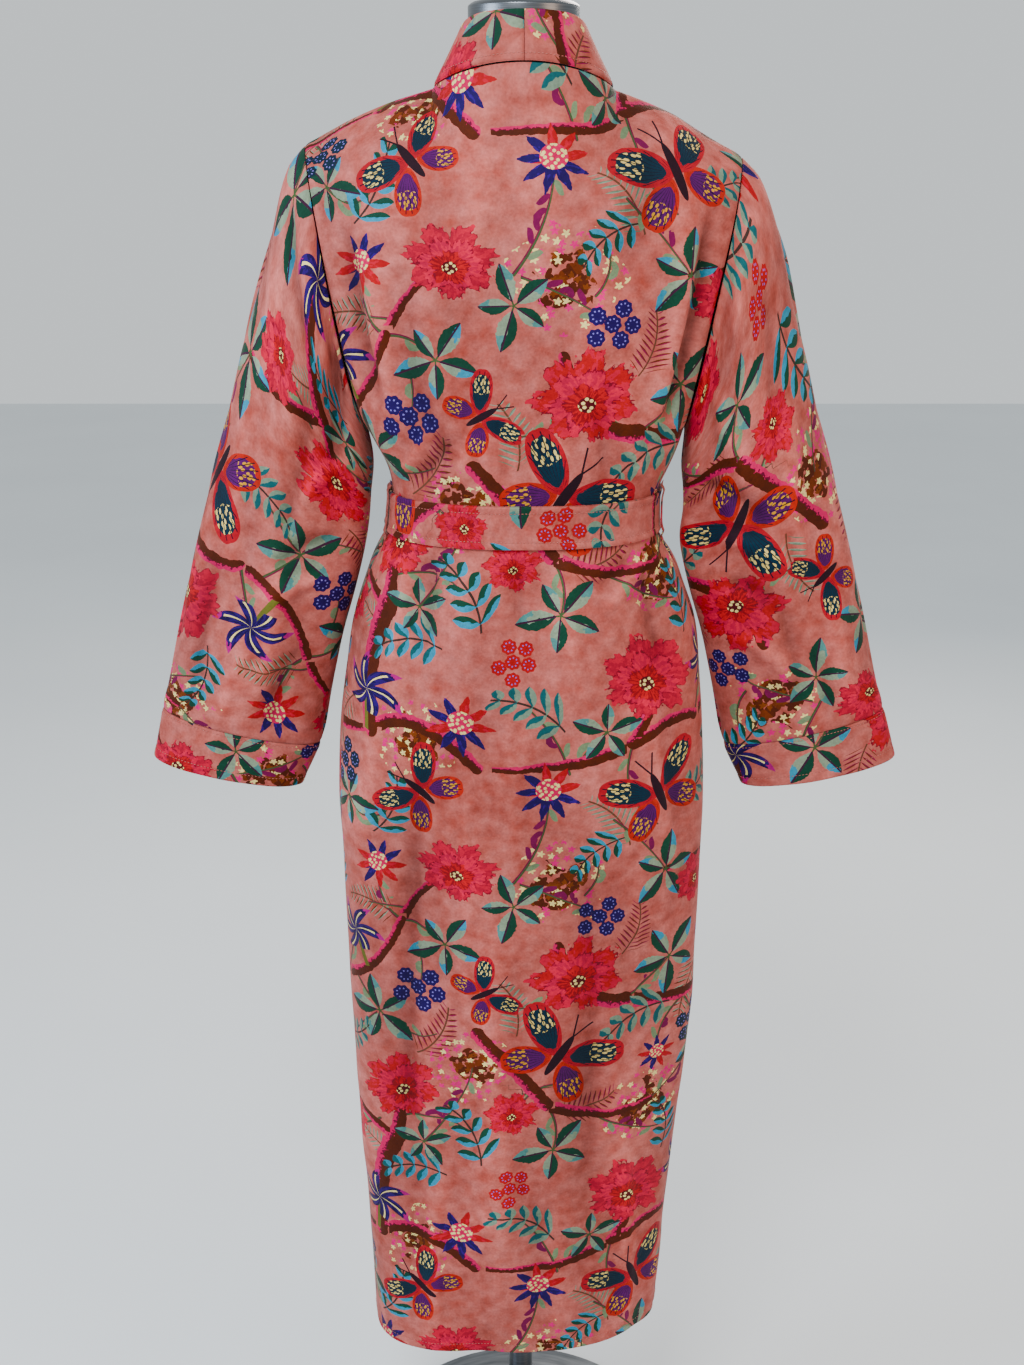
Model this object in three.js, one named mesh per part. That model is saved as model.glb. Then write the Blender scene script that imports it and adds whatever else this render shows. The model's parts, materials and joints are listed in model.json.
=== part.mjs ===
// A long kimono robe of printed cotton velvet, worn by a limbless dress form on a pole and a round base.
// Millimetres, +Z up, the front towards -Y, the wearer's left towards +X.
// The origin is the middle of the base's underside.
import * as THREE from "three";

// Cloth
const CLOTH = 2;
const BAND = 3;
const SEAM = 0.3;
const ANGLED_SEAM = 1.6;
const LAYER = 3.6;

// Places on the robe that the pieces share
const HEM_Z = 250;
const UNDERARM = { x: 150, z: 1251 };
const SHOULDER = { x: 195, z: 1500 };
const NECK = { x: 80, z: 1548 };
const NAPE = { y: 70, z: 1567 };
const ARMHOLE_DEEP = 48;
const YOKE_Z = 1470;
const SIDE_SEAM_TURN = 0.17;
const BAND_WIDE = 45;

// Belt
const BELT = { z: 1171.5, wide: 41, tail: 380, onBack: 3.1, onFront: 7.3 };
const LOOP = { wide: 12, thick: 1.5, above: 1201, below: 1142 };

// Dress form
const FORM_Z = 900;
const POLE_R = 13.5;
const BASE_R = 185;
const CAP = { radius: 49, z: 1600.3, high: 24 };

// The robe's body from the hem up. Half width, depth behind and before the middle, and how square the
// back's left and right corners are (2 is an ellipse).
const BODY = [
  { z: 250, half: 157, back: 92, front: 95, left: 3.8, right: 2.0 },
  { z: 378, half: 163, back: 94, front: 98, left: 3.3, right: 2.1 },
  { z: 508, half: 171, back: 97, front: 103, left: 2.9, right: 2.2 },
  { z: 632, half: 178, back: 100, front: 108, left: 2.7, right: 2.3 },
  { z: 774, half: 182, back: 104, front: 113, left: 2.5, right: 2.4 },
  { z: 904, half: 182, back: 109, front: 113, left: 2.4, right: 2.4 },
  { z: 970, half: 177, back: 110, front: 109, left: 2.4, right: 2.4 },
  { z: 1060, half: 166, back: 106, front: 102, left: 2.4, right: 2.4 },
  { z: 1114, half: 147, back: 98, front: 96, left: 2.4, right: 2.4 },
  { z: 1151, half: 128, back: 92, front: 90, left: 2.4, right: 2.4 },
  { z: 1171, half: 126, back: 90, front: 88, left: 2.4, right: 2.4 },
  { z: 1192, half: 128, back: 92, front: 90, left: 2.4, right: 2.4 },
  { z: 1251, half: 150, back: 96, front: 104, left: 2.3, right: 2.3 },
  { z: 1330, half: 164, back: 97, front: 122, left: 2.2, right: 2.2 },
  { z: 1400, half: 177, back: 98, front: 108, left: 2.2, right: 2.2 },
  { z: 1450, half: 186, back: 95, front: 86, left: 2.2, right: 2.2 },
  { z: 1500, half: 195, back: 86, front: 60, left: 2.2, right: 2.2 },
];

// Folds of the body cloth. Angle round the body in degrees (0 is the wearer's left side, 90 the back),
// how wide the fold is in degrees, how far it stands out, the height of its middle and half its length.
const BODY_FOLDS = [
  { angle: 34, wide: 7, out: 4.5, z: 1085, reach: 75 },
  { angle: 52, wide: 6, out: -3.5, z: 1075, reach: 65 },
  { angle: 71, wide: 8, out: 3.5, z: 1090, reach: 60 },
  { angle: 96, wide: 8, out: -2.5, z: 1080, reach: 70 },
  { angle: 118, wide: 7, out: 3.5, z: 1085, reach: 80 },
  { angle: 146, wide: 8, out: 4.0, z: 1070, reach: 85 },
  { angle: 28, wide: 8, out: 5.0, z: 1235, reach: 36 },
  { angle: 48, wide: 6, out: -3.0, z: 1240, reach: 42 },
  { angle: 76, wide: 8, out: 3.0, z: 1235, reach: 34 },
  { angle: 112, wide: 9, out: 3.0, z: 1238, reach: 40 },
  { angle: 150, wide: 8, out: 5.0, z: 1240, reach: 42 },
  { angle: 60, wide: 12, out: -4.0, z: 720, reach: 330 },
  { angle: 88, wide: 12, out: 3.0, z: 520, reach: 300 },
  { angle: 128, wide: 12, out: -4.0, z: 640, reach: 330 },
  { angle: 156, wide: 10, out: 4.0, z: 560, reach: 330 },
  { angle: 224, wide: 12, out: 3.5, z: 700, reach: 320 },
  { angle: 250, wide: 10, out: -3.5, z: 620, reach: 340 },
  { angle: 288, wide: 11, out: 3.5, z: 660, reach: 330 },
  { angle: 318, wide: 12, out: -3.5, z: 740, reach: 320 },
  { angle: 232, wide: 8, out: 3.0, z: 1080, reach: 70 },
  { angle: 262, wide: 7, out: -2.5, z: 1085, reach: 60 },
  { angle: 300, wide: 8, out: 3.0, z: 1080, reach: 75 },
];

// The seam between each front and the neckband, as its distance from the middle, for the wearer's left.
const FRONT_EDGE = [
  { z: 250, x: -65 },
  { z: 600, x: -45 },
  { z: 1000, x: -20 },
  { z: 1171, x: 4 },
  { z: 1230, x: 18 },
  { z: 1290, x: 34 },
  { z: 1360, x: 50 },
  { z: 1430, x: 66 },
  { z: 1470, x: 74 },
  { z: 1548, x: 80 },
];

// The neckband's free edge round the neck. Station 0 is the centre back, 1 the neck point and 2 the
// place where the band comes to lie on the front.
const COLLAR_EDGE = [
  { station: -0.25, x: -24, y: 59, z: 1608 },
  { station: 0.0, x: 0, y: 62, z: 1609 },
  { station: 0.25, x: 24, y: 59, z: 1608 },
  { station: 0.5, x: 42, y: 48, z: 1605 },
  { station: 0.75, x: 51.5, y: 30, z: 1599 },
  { station: 1.0, x: 54, y: 5, z: 1590 },
  { station: 1.25, x: 52, y: -21, z: 1574 },
  { station: 1.5, x: 46.5, y: -44, z: 1546 },
  { station: 1.75, x: 38, y: -62, z: 1511 },
  { station: 2.0, x: 29, y: -74, z: 1470 },
];

// Sleeve sections from the armhole to the hem of the cuff: the outer and the inner edge seen from the
// back, and half the depth from front to back.
const SLEEVE = [
  { outX: 196.1, outZ: 1499.5, inX: 153.0, inZ: 1250, deep: 48 },
  { outX: 212, outZ: 1474, inX: 154, inZ: 1243, deep: 50 },
  { outX: 231, outZ: 1418, inX: 153.5, inZ: 1231, deep: 52 },
  { outX: 255, outZ: 1337, inX: 150.5, inZ: 1205, deep: 51 },
  { outX: 280, outZ: 1250, inX: 150, inZ: 1170, deep: 50 },
  { outX: 298, outZ: 1190, inX: 155, inZ: 1135, deep: 49 },
  { outX: 318, outZ: 1120, inX: 166, inZ: 1085, deep: 46 },
  { outX: 334, outZ: 1060, inX: 180, inZ: 1036, deep: 43 },
  { outX: 349, outZ: 1004, inX: 192, inZ: 984, deep: 39 },
  { outX: 359, outZ: 967, inX: 204, inZ: 930, deep: 35 },
  { outX: 371, outZ: 915, inX: 224, inZ: 885, deep: 32 },
];
const CUFF_SEAM_ROW = 9;
const CUFF_END_ROW = 10;

// Creases of each sleeve. Turn in degrees (0 is the outer edge, 90 the back, 180 the inner edge), row
// is a place along SLEEVE, and lean slants the crease, in degrees of turn for each row.
const SLEEVE_FOLDS = {
  left: [
    { turn: 118, wide: 15, out: -7, row: 2.2, reach: 1.9, lean: 3 },
    { turn: 78, wide: 14, out: 5, row: 2.0, reach: 1.8, lean: 2 },
    { turn: 100, wide: 16, out: 4, row: 6.4, reach: 2.0, lean: -3 },
    { turn: 60, wide: 15, out: -4, row: 7.0, reach: 1.9, lean: 2 },
    { turn: 250, wide: 17, out: -6, row: 3.2, reach: 1.8, lean: -3 },
    { turn: 290, wide: 16, out: 4, row: 6.0, reach: 2.1, lean: 2 },
  ],
  right: [
    { turn: 122, wide: 16, out: -7, row: 2.0, reach: 1.7, lean: 4 },
    { turn: 84, wide: 13, out: 5, row: 2.4, reach: 1.9, lean: 3 },
    { turn: 176, wide: 22, out: 6, row: 4.9, reach: 0.8, lean: 0 },
    { turn: 66, wide: 14, out: -4, row: 6.4, reach: 2.0, lean: 3 },
    { turn: 104, wide: 15, out: 4, row: 7.2, reach: 1.7, lean: -3 },
    { turn: 244, wide: 16, out: -5, row: 3.4, reach: 1.9, lean: -2 },
    { turn: 292, wide: 15, out: 4, row: 6.4, reach: 1.9, lean: 3 },
  ],
};

// Where the robe hangs askew: the middle of each soft push, in x and in height, how far it reaches both
// ways and how far it moves what is there. The form below the cloth leans with it.
const HANG = [
  { x: 0, z: 180, wide: 400, high: 330, dx: 8, dz: 0 },
  { x: -190, z: 1500, wide: 75, high: 110, dx: 0, dz: -10 },
  { x: -235, z: 1430, wide: 40, high: 60, dx: -6, dz: 0 },
  { x: 120, z: 1226, wide: 62, high: 38, dx: -11, dz: 0 },
  { x: -166, z: 1160, wide: 22, high: 42, dx: -16, dz: 0 },
  { x: -372, z: 905, wide: 50, high: 60, dx: -5, dz: 0 },
];

// The dress form's torso from its underside up.
const TORSO = [
  { z: 900, half: 148, back: 88, front: 78 },
  { z: 960, half: 163, back: 101, front: 92 },
  { z: 1000, half: 163, back: 100, front: 92 },
  { z: 1060, half: 153, back: 94, front: 88 },
  { z: 1114, half: 132, back: 86, front: 84 },
  { z: 1171, half: 117, back: 81, front: 79 },
  { z: 1230, half: 127, back: 85, front: 88 },
  { z: 1300, half: 143, back: 89, front: 108 },
  { z: 1350, half: 151, back: 90, front: 110 },
  { z: 1400, half: 160, back: 90, front: 97 },
  { z: 1450, half: 171, back: 87, front: 76 },
  { z: 1470, half: 176, back: 84, front: 66 },
];
const TORSO_POWER = 2.2;

// The form's neck above the shoulders: height, radius to the side, back and front.
const FORM_NECK = [
  { z: 1557, side: 58, back: 56, front: 45 },
  { z: 1571, side: 50.5, back: 51, front: 45 },
  { z: 1585, side: 48.5, back: 49.5, front: 47 },
  { z: 1600, side: 49, back: 49, front: 49 },
];

const lerp = (a, b, t) => a + (b - a) * t;
const clamp = (t, low = 0, high = 1) => Math.min(high, Math.max(low, t));
const smooth = (t) => clamp(t) ** 2 * (3 - 2 * clamp(t));
const bell = (t) => Math.exp(-t * t);
const radians = (degrees) => (degrees * Math.PI) / 180;

function steps(from, to, count) {
  return Array.from({ length: count + 1 }, (_, i) => lerp(from, to, i / count));
}

// A smooth curve through one column of a table, against its column `by`.
function read(table, column, at, by = "z") {
  const last = table.length - 1;
  let i = 0;
  while (i < last - 1 && at > table[i + 1][by]) i += 1;
  const slope = (k) => {
    const low = table[Math.max(k - 1, 0)];
    const high = table[Math.min(k + 1, last)];
    return (high[column] - low[column]) / (high[by] - low[by]);
  };
  const span = table[i + 1][by] - table[i][by];
  const t = clamp((at - table[i][by]) / span);
  const t2 = t * t;
  const t3 = t2 * t;
  return (2 * t3 - 3 * t2 + 1) * table[i][column] + (t3 - 2 * t2 + t) * span * slope(i)
    + (3 * t2 - 2 * t3) * table[i + 1][column] + (t3 - t2) * span * slope(i + 1);
}

// A point of a rounded box-like section of half sides 1, at an angle from the wearer's left.
function rounded(angle, power) {
  const c = Math.cos(angle);
  const s = Math.sin(angle);
  const scale = (Math.abs(c) ** power + Math.abs(s) ** power) ** (-1 / power);
  return [c * scale, s * scale];
}

// How square the body's section is there: the fronts are round, the back has its two corners.
function squareness(angle, z) {
  const back = smooth((1 + Math.sin(angle)) / 2);
  const left = smooth((1 + Math.cos(angle)) / 2);
  const corner = lerp(read(BODY, "right", z), read(BODY, "left", z), left);
  return lerp(2.3, corner, back);
}

function bodyFold(angle, z) {
  const degrees = (((angle * 180) / Math.PI) % 360 + 360) % 360;
  let out = 0;
  for (const fold of BODY_FOLDS) {
    const turn = ((degrees - fold.angle + 540) % 360) - 180;
    out += fold.out * bell(turn / fold.wide) * bell((z - fold.z) / fold.reach);
  }
  const underBelt = 1 - smooth((Math.abs(z - BELT.z) - BELT.wide / 2 - 4) / 24);
  return out * (1 - underBelt) * smooth((YOKE_Z - 40 - z) / 80);
}

// The armhole is an ellipse in a leaning plane, from the underarm (turn 0) to the shoulder tip (pi).
function armhole(turn) {
  const middle = (UNDERARM.z + SHOULDER.z) / 2;
  const z = middle - ((SHOULDER.z - UNDERARM.z) / 2) * Math.cos(turn);
  const x = lerp(UNDERARM.x, SHOULDER.x, (z - UNDERARM.z) / (SHOULDER.z - UNDERARM.z));
  return { x, y: ARMHOLE_DEEP * Math.sin(turn), z };
}
const YOKE_TURN = Math.acos(1 - (2 * (YOKE_Z - UNDERARM.z)) / (SHOULDER.z - UNDERARM.z));

// The middle of the body cloth. Below the underarm a row is a height, above it a turn of the armhole.
function bodyPoint(angle, row) {
  const under = row <= 1;
  const turn = under ? 0 : (row - 1) * YOKE_TURN;
  const hole = armhole(turn);
  const z = under ? lerp(HEM_Z, UNDERARM.z, row) : hole.z;
  const half = under ? read(BODY, "half", z) : hole.x;
  const [c, s] = rounded(angle, squareness(angle, z));
  const facing = s < 0 ? -1 : 1;
  const depth = read(BODY, s < 0 ? "front" : "back", z);
  const full = 1 - Math.abs(c) ** 3;
  const rise = lerp(Math.abs(s), full, smooth(turn / radians(70)));
  const fold = bodyFold(angle, z) * (1 - Math.abs(c) ** 6 * smooth(turn / radians(40)));
  const away = new THREE.Vector2(c / half, s / depth).normalize().multiplyScalar(fold);
  return new THREE.Vector3(half * c + away.x, facing * (hole.y + (depth - hole.y) * rise) + away.y, z);
}

// The angle at which the body's front is x from the middle.
function frontAngle(x, z, half) {
  const c = clamp(x / half, -1, 1);
  let angle = -Math.acos(c);
  for (let i = 0; i < 6; i += 1) {
    const power = squareness(angle, z);
    angle = -Math.atan2((1 - Math.abs(c) ** power) ** (1 / power), c);
  }
  return angle;
}

const rowHeight = (row) => (row <= 1 ? lerp(HEM_Z, UNDERARM.z, row) : armhole((row - 1) * YOKE_TURN).z);
const rowHalf = (row) => (row <= 1 ? read(BODY, "half", rowHeight(row)) : armhole((row - 1) * YOKE_TURN).x);
const rowAt = (z) => (z - HEM_Z) / (UNDERARM.z - HEM_Z);
const seamAngle = (row) => SIDE_SEAM_TURN * smooth((UNDERARM.z - rowHeight(row)) / 100);
const gapAngle = (row) => SEAM / 2 / rowHalf(row);

// The neck seam from the centre back (0) to the neck point (1).
function neckSeam(part) {
  const turn = (part * Math.PI) / 2;
  const z = lerp(NECK.z, NAPE.z, Math.max(Math.cos(turn), 0) ** 1.7);
  return new THREE.Vector3(NECK.x * Math.sin(turn), NAPE.y * Math.cos(turn), z);
}

function shoulderSeam(part) {
  const arch = 4 * Math.sin(Math.PI * part);
  const gap = lerp(ANGLED_SEAM, SEAM, smooth(part * 2)) / 2;
  return new THREE.Vector3(lerp(NECK.x, SHOULDER.x, part), gap, lerp(NECK.z, SHOULDER.z, part) + arch);
}

const NECK_PART = 0.42;

// Above the yoke line each column rolls over to the shoulder seam, or runs straight up to the neck.
function overShoulder(start, end, straight, part) {
  const turn = lerp(YOKE_TURN, Math.PI, part);
  const across = Math.sin(turn) / Math.sin(YOKE_TURN);
  const up = (Math.cos(YOKE_TURN) - Math.cos(turn)) / (Math.cos(YOKE_TURN) + 1);
  const y = lerp(across, 1 - part, straight);
  const z = lerp(up, part, straight);
  return new THREE.Vector3(lerp(start.x, end.x, z), lerp(end.y, start.y, y), lerp(start.z, end.z, z));
}

function backPoint(u, row) {
  const middle = Math.abs(2 * u - 1);
  const low = seamAngle(Math.min(row, 2)) + gapAngle(Math.min(row, 2)) * (row < 1 ? 1 : 0);
  const neckAngle = Math.acos(NECK_PART) * 0.985;
  const split = 0.4;
  const toSide = clamp((middle - split) / (1 - split));
  const fromMiddle = middle < split
    ? lerp(Math.PI / 2, neckAngle, middle / split)
    : lerp(neckAngle, low, toSide);
  const angle = u < 0.5 ? fromMiddle : Math.PI - fromMiddle;
  if (row <= 2) return bodyPoint(angle, row);
  const side = u < 0.5 ? 1 : -1;
  const end = middle < split ? neckSeam(middle / split) : shoulderSeam(toSide);
  const straight = 1 - smooth((middle - 0.25) / 0.35);
  const start = bodyPoint(angle, 2);
  start.x = Math.abs(start.x);
  const point = overShoulder(start, end, straight, row - 2);
  point.x *= side;
  return point;
}

const layerPart = (angle) => smooth((SIDE_SEAM_TURN - angle) / 0.55);
const layerHeight = (z) => LAYER * (1 - smooth((z - 1375) / 70));

// One front, from the side seam (0) to the neckband's seam (1). The wearer's left lies over the right.
function frontPoint(side, u, row) {
  const flat = Math.min(row, 2);
  const z = rowHeight(flat);
  const edge = frontAngle(read(FRONT_EDGE, "x", z), z, rowHalf(flat));
  const low = seamAngle(flat) - gapAngle(flat) * (row < 1 ? 1 : 0) - (flat >= 1 ? 1e-4 : 0);
  const angle = lerp(low, edge + gapAngle(flat), u);
  if (row <= 2) return frontSurface(side, angle, row);
  const start = frontSurface(side, angle, 2);
  start.x *= side;
  const end = shoulderSeam(1 - u);
  end.y = -end.y;
  const point = overShoulder(start, end, 0.7 * smooth((u - 0.5) / 0.5), row - 2);
  point.x *= side;
  return point;
}

// A point of the front cloth at an angle that is measured from its own side.
function frontSurface(side, angle, row) {
  const at = (turn, line) => bodyPoint(side > 0 ? turn : Math.PI - turn, line);
  const point = at(angle, row);
  const layer = side > 0 ? layerPart(angle) * layerHeight(rowHeight(row)) : 0;
  return layer > 0 ? moved(at, angle, row, layer, side, point) : point;
}

function hang(point) {
  let dx = 0;
  let dz = 0;
  for (const push of HANG) {
    const part = bell((point.x - push.x) / push.wide) * bell((point.z - push.z) / push.high);
    dx += push.dx * part;
    dz += push.dz * part;
  }
  return new THREE.Vector3(point.x + dx, point.y, point.z + dz);
}

// A surface's point moved along its normal, to the outside of the body.
function moved(surface, u, v, distance, side, point = surface(u, v)) {
  const step = 1e-3;
  const across = surface(u + step, v).sub(surface(u - step, v));
  const along = surface(u, v + step).sub(surface(u, v - step));
  const normal = across.cross(along).normalize().multiplyScalar(side * distance);
  return point.clone().add(normal);
}

// The neckband from the centre back (station 0) over the neck point (1) to the yoke line (2), and down
// the front to the hem (3). Across it, 0 is the seam and 1 the free edge.
function neckbandPoint(side, across, station) {
  if (station <= 2) {
    const seam = station <= 1 ? neckSeam(station) : frontPoint(side, 1, 4 - station);
    seam.x = Math.abs(seam.x);
    const free = new THREE.Vector3(
      read(COLLAR_EDGE, "x", station, "station"),
      read(COLLAR_EDGE, "y", station, "station"),
      read(COLLAR_EDGE, "z", station, "station"),
    );
    if (station > 1.999) free.copy(edgePoint(side, 1, 2));
    free.x = Math.abs(free.x);
    const point = seam.lerp(free, across);
    point.x *= side;
    return point;
  }
  return edgePoint(side, across, lerp(2, 0, station - 2));
}

function edgePoint(side, across, row) {
  const z = rowHeight(row);
  const x = read(FRONT_EDGE, "x", z) - BAND_WIDE * across;
  return frontSurface(side, frontAngle(x, z, rowHalf(row)), row);
}

// A closed sheet of cloth: the surface's grid moved half the thickness to both sides, and its rims.
function wall(surface, us, vs, thickness, closed = false) {
  const wide = us.length;
  const high = vs.length;
  const low = { u: us[0], v: vs[0] };
  const top = { u: us[wide - 1], v: vs[high - 1] };
  const step = 1e-3;
  const faces = { outer: [], inner: [] };
  const hung = (u, v) => hang(surface(u, v));
  for (const v of vs) {
    for (const u of us) {
      const nearU = closed ? [u - step, u + step] : [Math.max(u - step, low.u), Math.min(u + step, top.u)];
      const nearV = [Math.max(v - step, low.v), Math.min(v + step, top.v)];
      const across = hung(nearU[1], v).sub(hung(nearU[0], v));
      const along = hung(u, nearV[1]).sub(hung(u, nearV[0]));
      const normal = across.cross(along).normalize().multiplyScalar(thickness / 2);
      const point = hung(u, v);
      faces.outer.push(point.clone().add(normal));
      faces.inner.push(point.sub(normal));
    }
  }
  const positions = [...faces.outer, ...faces.inner].flatMap((point) => point.toArray());
  const outer = (i, j) => j * wide + (i % wide);
  const inner = (i, j) => wide * high + outer(i, j);
  const index = [];
  const quad = (a, b, c, d) => index.push(a, b, c, a, c, d);
  const columns = closed ? wide : wide - 1;
  for (let j = 0; j < high - 1; j += 1) {
    for (let i = 0; i < columns; i += 1) {
      quad(outer(i, j), outer(i + 1, j), outer(i + 1, j + 1), outer(i, j + 1));
      quad(inner(i, j), inner(i, j + 1), inner(i + 1, j + 1), inner(i + 1, j));
    }
  }
  for (let i = 0; i < columns; i += 1) {
    quad(outer(i + 1, 0), outer(i, 0), inner(i, 0), inner(i + 1, 0));
    quad(outer(i, high - 1), outer(i + 1, high - 1), inner(i + 1, high - 1), inner(i, high - 1));
  }
  for (let j = 0; j < high - 1 && !closed; j += 1) {
    quad(outer(0, j), outer(0, j + 1), inner(0, j + 1), inner(0, j));
    quad(outer(wide - 1, j + 1), outer(wide - 1, j), inner(wide - 1, j), inner(wide - 1, j + 1));
  }
  return solid(positions, index);
}

// A geometry from points and triangles, turned so that its faces point out.
function solid(positions, index) {
  let volume = 0;
  const point = (k) => new THREE.Vector3().fromArray(positions, 3 * k);
  for (let k = 0; k < index.length; k += 3) {
    volume += point(index[k]).dot(point(index[k + 1]).cross(point(index[k + 2])));
  }
  if (volume < 0) index.reverse();
  const geometry = new THREE.BufferGeometry();
  geometry.setAttribute("position", new THREE.Float32BufferAttribute(positions, 3));
  geometry.setIndex(index);
  geometry.computeVertexNormals();
  return geometry;
}

const robe = new THREE.Group();
robe.name = "kimono_robe_on_dress_form";

const materials = {
  velvet: new THREE.MeshStandardMaterial({ color: 0xc0685f, roughness: 0.85, metalness: 0 }),
  jersey: new THREE.MeshStandardMaterial({ color: 0x2c2c30, roughness: 0.9, metalness: 0 }),
  gunmetal: new THREE.MeshStandardMaterial({ color: 0x4b4e52, roughness: 0.35, metalness: 1 }),
};

function add(name, geometry, material) {
  const mesh = new THREE.Mesh(geometry, material);
  mesh.name = name;
  robe.add(mesh);
}

// Rows of the body cloth: even ones up the skirt, closer ones at the waist, then round the armhole.
const BELT_ROWS = [BELT.z - BELT.wide / 2, BELT.z, BELT.z + BELT.wide / 2];
const SKIRT_ROWS = [
  ...steps(HEM_Z, 1042, 12), 1080, 1106, 1129, ...BELT_ROWS, 1214, 1232, UNDERARM.z,
].map(rowAt);
const YOKE_ROWS = [...steps(1, 2, 6).slice(1), ...steps(2, 3, 5).slice(1)];
const BODY_ROWS = [...SKIRT_ROWS, ...YOKE_ROWS];

function addBody() {
  add("back", wall(backPoint, steps(0, 1, 24), BODY_ROWS, CLOTH), materials.velvet);
  for (const [name, side] of [["left", 1], ["right", -1]]) {
    const surface = (u, row) => frontPoint(side, u, row);
    add(`front_${name}`, wall(surface, steps(0, 1, 12), BODY_ROWS, CLOTH), materials.velvet);
  }
}

function addNeckband() {
  const down = BODY_ROWS.filter((row) => row < 2).reverse().map((row) => 2 + (2 - row) / 2);
  const stations = [...steps(0.002, 2, 12), ...down];
  for (const [name, side] of [["left", 1], ["right", -1]]) {
    const surface = (across, station) => {
      const apart = lerp(ANGLED_SEAM, SEAM, smooth((station - 1.2) / 0.8)) / BAND_WIDE;
      return neckbandPoint(side, lerp(apart, 1, across), station);
    };
    add(`neckband_${name}`, wall(surface, steps(0, 1, 3), stations, BAND), materials.velvet);
  }
}

function sleevePoint(side, turn, row) {
  const rings = SLEEVE.map((ring, i) => ({ ...ring, row: i }));
  const at = (column) => read(rings, column, row, "row");
  const outer = new THREE.Vector2(at("outX"), at("outZ"));
  const inner = new THREE.Vector2(at("inX"), at("inZ"));
  let out = 0;
  for (const fold of SLEEVE_FOLDS[side > 0 ? "left" : "right"]) {
    const away = (turn * 180) / Math.PI - fold.turn - fold.lean * (row - fold.row);
    const turned = (((away % 360) + 540) % 360) - 180;
    out += fold.out * bell(turned / fold.wide) * bell((row - fold.row) / fold.reach);
  }
  out *= smooth(row / 1.2) * smooth((CUFF_SEAM_ROW - 0.3 - row) / 1.2);
  const middle = outer.clone().add(inner).multiplyScalar(0.5);
  const half = outer.clone().sub(inner).multiplyScalar(0.5);
  const wide = half.length();
  const along = half.multiplyScalar(Math.cos(turn) * (1 + out / wide));
  const y = (at("deep") + out) * Math.sin(turn);
  return new THREE.Vector3((middle.x + along.x) * side, y, middle.y + along.y);
}

function addSleeves() {
  const turns = steps(0, 2 * Math.PI, 22).slice(0, -1);
  const sleeveRows = steps(0, CUFF_SEAM_ROW, 14);
  const cuffStart = CUFF_SEAM_ROW + 0.0075;
  for (const [name, side] of [["left", 1], ["right", -1]]) {
    const surface = (turn, row) => sleevePoint(side, turn, row);
    add(`sleeve_${name}`, wall(surface, turns, sleeveRows, CLOTH, true), materials.velvet);
    add(`cuff_${name}`, wall(surface, turns, steps(cuffStart, CUFF_END_ROW, 2), BAND, true), materials.velvet);
  }
}

// How far the belt's middle lies outside the middle of the body cloth, round the waist.
function beltOut(angle) {
  const whole = 2 * Math.PI;
  const fromLeft = (((SIDE_SEAM_TURN - angle) % whole) + whole) % whole;
  const fromRight = Math.PI + 2 * SIDE_SEAM_TURN - fromLeft;
  return lerp(BELT.onBack, BELT.onFront, smooth(fromLeft / 0.4) * smooth(fromRight / 0.7));
}

function waistPoint(angle, z, distance) {
  return moved((turn, height) => bodyPoint(turn, rowAt(height)), angle, z, distance, 1);
}

function addBelt() {
  const turns = steps(0, 2 * Math.PI, 48).slice(0, -1);
  const heights = steps(BELT.z - BELT.wide / 2, BELT.z + BELT.wide / 2, 2);
  const surface = (angle, z) => waistPoint(angle, z, beltOut(angle));
  add("belt_waist", wall(surface, turns, heights, BAND, true), materials.velvet);
  addKnot();
  addTail("left", 33, 14);
  addTail("right", -15, -12);
  for (const [name, side] of [["left", 1], ["right", -1]]) addLoop(name, side);
}

// The half knot in front: a flattened lump with the two turns of the belt in it.
function addKnot() {
  const half = { x: 27, y: 11, z: 25 };
  const middle = { x: 9, y: -(88 + BELT.onFront + BAND / 2 + SEAM + half.y), z: BELT.z };
  const surface = (turn, tilt) => {
    const ring = Math.cos(tilt);
    const fold = 1 + 0.07 * Math.cos(2 * turn + 3 * tilt);
    return [
      middle.x + half.x * ring * Math.cos(turn) * fold,
      middle.y + half.y * ring * Math.sin(turn),
      middle.z + half.z * Math.sin(tilt),
    ];
  };
  const around = 18;
  const rings = 8;
  const positions = [...surface(0, -Math.PI / 2)];
  for (let j = 1; j < rings; j += 1) {
    const tilt = lerp(-Math.PI / 2, Math.PI / 2, j / rings);
    for (let i = 0; i < around; i += 1) positions.push(...surface((i / around) * 2 * Math.PI, tilt));
  }
  positions.push(...surface(0, Math.PI / 2));
  const at = (j, i) => 1 + (j - 1) * around + (i % around);
  const last = positions.length / 3 - 1;
  const index = [];
  for (let i = 0; i < around; i += 1) {
    index.push(0, at(1, i + 1), at(1, i), last, at(rings - 1, i), at(rings - 1, i + 1));
    for (let j = 1; j < rings - 1; j += 1) {
      index.push(at(j, i), at(j, i + 1), at(j + 1, i + 1), at(j, i), at(j + 1, i + 1), at(j + 1, i));
    }
  }
  add("belt_knot", solid(positions, index), materials.velvet);
}

// A hanging end of the belt, lying on the left front below the knot.
function addTail(name, x, spread) {
  const top = BELT.z - BELT.wide / 2 - 5;
  const bottom = top - BELT.tail;
  const heights = [bottom, ...BODY_ROWS.map(rowHeight).filter((z) => z > bottom + 20 && z < top - 10), top];
  const surface = (across, z) => {
    const down = (top - z) / BELT.tail;
    const row = rowAt(z);
    const angle = frontAngle(x + spread * down + across, z, rowHalf(row));
    return waistPoint(angle, z, BELT.onFront + 0.2);
  };
  const across = steps(-BELT.wide / 2, BELT.wide / 2, 3);
  add(`belt_tail_${name}`, wall(surface, across, heights, BAND), materials.velvet);
}

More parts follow.
